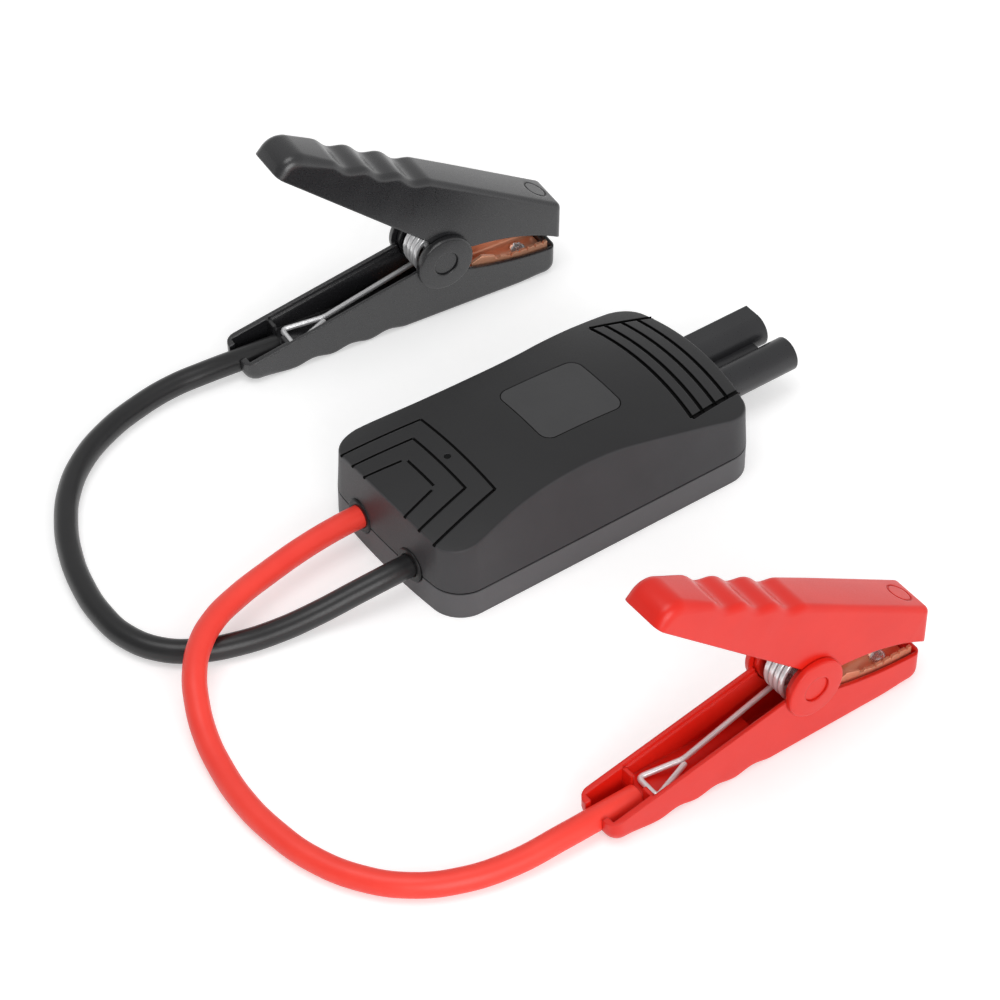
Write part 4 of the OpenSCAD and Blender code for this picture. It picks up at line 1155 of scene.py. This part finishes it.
# Jaw screws: a plain shank under a domed head with a cross recess
SCREW_R, HEAD_R, HEAD_H, DOME_H, DOME_POWER = 1.2, 2.0, 1.5, 0.75, 2.6
CROSS_W, CROSS_L, CROSS_D, CROSS_EDGE, CROSS_TIP = 0.32, 1.35, 0.7, 0.09, 0.35
HEAD_RINGS, SCREW_SIDES, SCREW_TURN = 26, 72, math.radians(25)
LOWER_SCREW, LOWER_SHANK = (SCREW_U, 0, 6), -5
UPPER_SCREW, UPPER_SHANK = (23, 0, 16.7), -2.5


def head_height(x, y):
    dome = HEAD_H - DOME_H * (math.hypot(x, y) / HEAD_R) ** DOME_POWER
    near, far = min(abs(x), abs(y)), max(abs(x), abs(y))
    side = min(1, max(0, (CROSS_W + CROSS_EDGE - near) / CROSS_EDGE))
    tip = min(1, max(0, (CROSS_L - far) / CROSS_TIP))
    return dome - CROSS_D * side * tip


def make_screw(name, body, place, low):
    bm = bmesh.new()

    def loop(radius, height):
        return [bm.verts.new(place @ Vector((x, y, height(x, y))))
                for x, y in circle(0, 0, radius, SCREW_SIDES)]

    loops = [loop(HEAD_R * i / HEAD_RINGS, head_height) for i in range(1, HEAD_RINGS + 1)]
    loops += [loop(HEAD_R, lambda x, y: 0), loop(SCREW_R, lambda x, y: 0), loop(SCREW_R, lambda x, y: low)]
    bridge(bm, loops)
    bm.faces.new(loops[-1])
    top = bm.verts.new(place @ Vector((0, 0, head_height(0, 0))))
    for j in range(SCREW_SIDES):
        bm.faces.new((top, loops[0][(j + 1) % SCREW_SIDES], loops[0][j]))
    piece = piece_from(bm, f"{name}_cross", STEEL, body, "steel", name)
    soften(piece.data, SCREW_SHARP)


def make_screws(side):
    spin = Matrix.Rotation(SCREW_TURN, 4, "Z")
    lower = clamp_matrix(side) @ Matrix.Translation(LOWER_SCREW) @ spin
    make_screw(f"{side}_lower_screw", "root", lower, LOWER_SHANK)
    flip = Matrix.Translation(UPPER_SCREW) @ Matrix.Rotation(math.pi, 4, "X")
    make_screw(f"{side}_upper_screw", f"{side}_jaw", jaw_matrix(side) @ flip @ spin, UPPER_SHANK)


for side in CLAMPS:
    make_screws(side)


# Floor, room light and lamps: the room's light by height, and how it dims towards the cable end
FLOOR_SIZE, FLOOR_GLOW, FLOOR_GRAIN = 3.0, 0.42, 400
FLOOR_DARK, FLOOR_LIGHT = (0.8, 0.8, 0.8), (0.83, 0.83, 0.83)
ROOM_LEVELS = [(0.0, 1.0), (0.16, 0.95), (0.4, 0.68), (1.0, 0.62)]
ROOM_FAR, ROOM_NEAR, ROOM_DIM, ROOM_FULL = -1, -0.1, 0.4, 0.86


def make_floor():
    t = Tree(bpy.data.materials.new("floor"))
    path = t.node("ShaderNodeLightPath").outputs
    seen = t.largest(path["Is Camera Ray"], path["Is Glossy Ray"], path["Is Transmission Ray"])
    paper = t.node("ShaderNodeBsdfDiffuse")
    t.link(t.clouded(t.noise(FLOOR_GRAIN, GRAIN_DETAIL), FLOOR_DARK, FLOOR_LIGHT), paper.inputs["Color"])
    glow = t.node("ShaderNodeEmission")
    glow.inputs["Strength"].default_value = FLOOR_GLOW
    lit = t.node("ShaderNodeAddShader")
    t.link(paper.outputs[0], lit.inputs[0])
    t.link(glow.outputs[0], lit.inputs[1])
    t.shown(seen, paper.outputs[0], lit.outputs[0])
    mesh = bpy.data.meshes.new("floor")
    corners = [(x * FLOOR_SIZE, y * FLOOR_SIZE, 0) for x, y in ((-1, -1), (1, -1), (1, 1), (-1, 1))]
    mesh.from_pydata(corners, [], [(0, 1, 2, 3)])
    mesh.materials.append(t.owner)
    floor = bpy.data.objects.new("floor", mesh)
    SCENE.collection.objects.link(floor)


def make_world():
    t = Tree(bpy.data.worlds.new("studio"), "ShaderNodeOutputWorld")
    way = t.split(t.coord.outputs["Generated"])
    room, white = t.node("ShaderNodeBackground"), t.node("ShaderNodeBackground")
    t.link(t.ramp(way["Z"], [(at, (level,) * 3) for at, level in ROOM_LEVELS]), room.inputs["Color"])
    t.link(t.mapped(way["X"], ROOM_FAR, ROOM_NEAR, ROOM_DIM, ROOM_FULL), room.inputs["Strength"])
    white.inputs["Color"].default_value = (1, 1, 1, 1)
    path = t.node("ShaderNodeLightPath").outputs
    t.shown(path["Is Camera Ray"], room.outputs[0], white.outputs[0])
    SCENE.world = t.owner


def make_lamp(name, azimuth, elevation, distance, size, watts):
    data = bpy.data.lights.new(name, "AREA")
    data.shape = "DISK"
    data.size = size
    data.energy = watts
    aimed(name, data, azimuth, elevation, distance)


make_floor()
make_world()
make_lamp("key", -15, 24, 1.6, 1.1, 10.5)
make_lamp("fill", -95, 80, 1.6, 1.0, 6.5)
SCENE.view_settings.view_transform = "Standard"
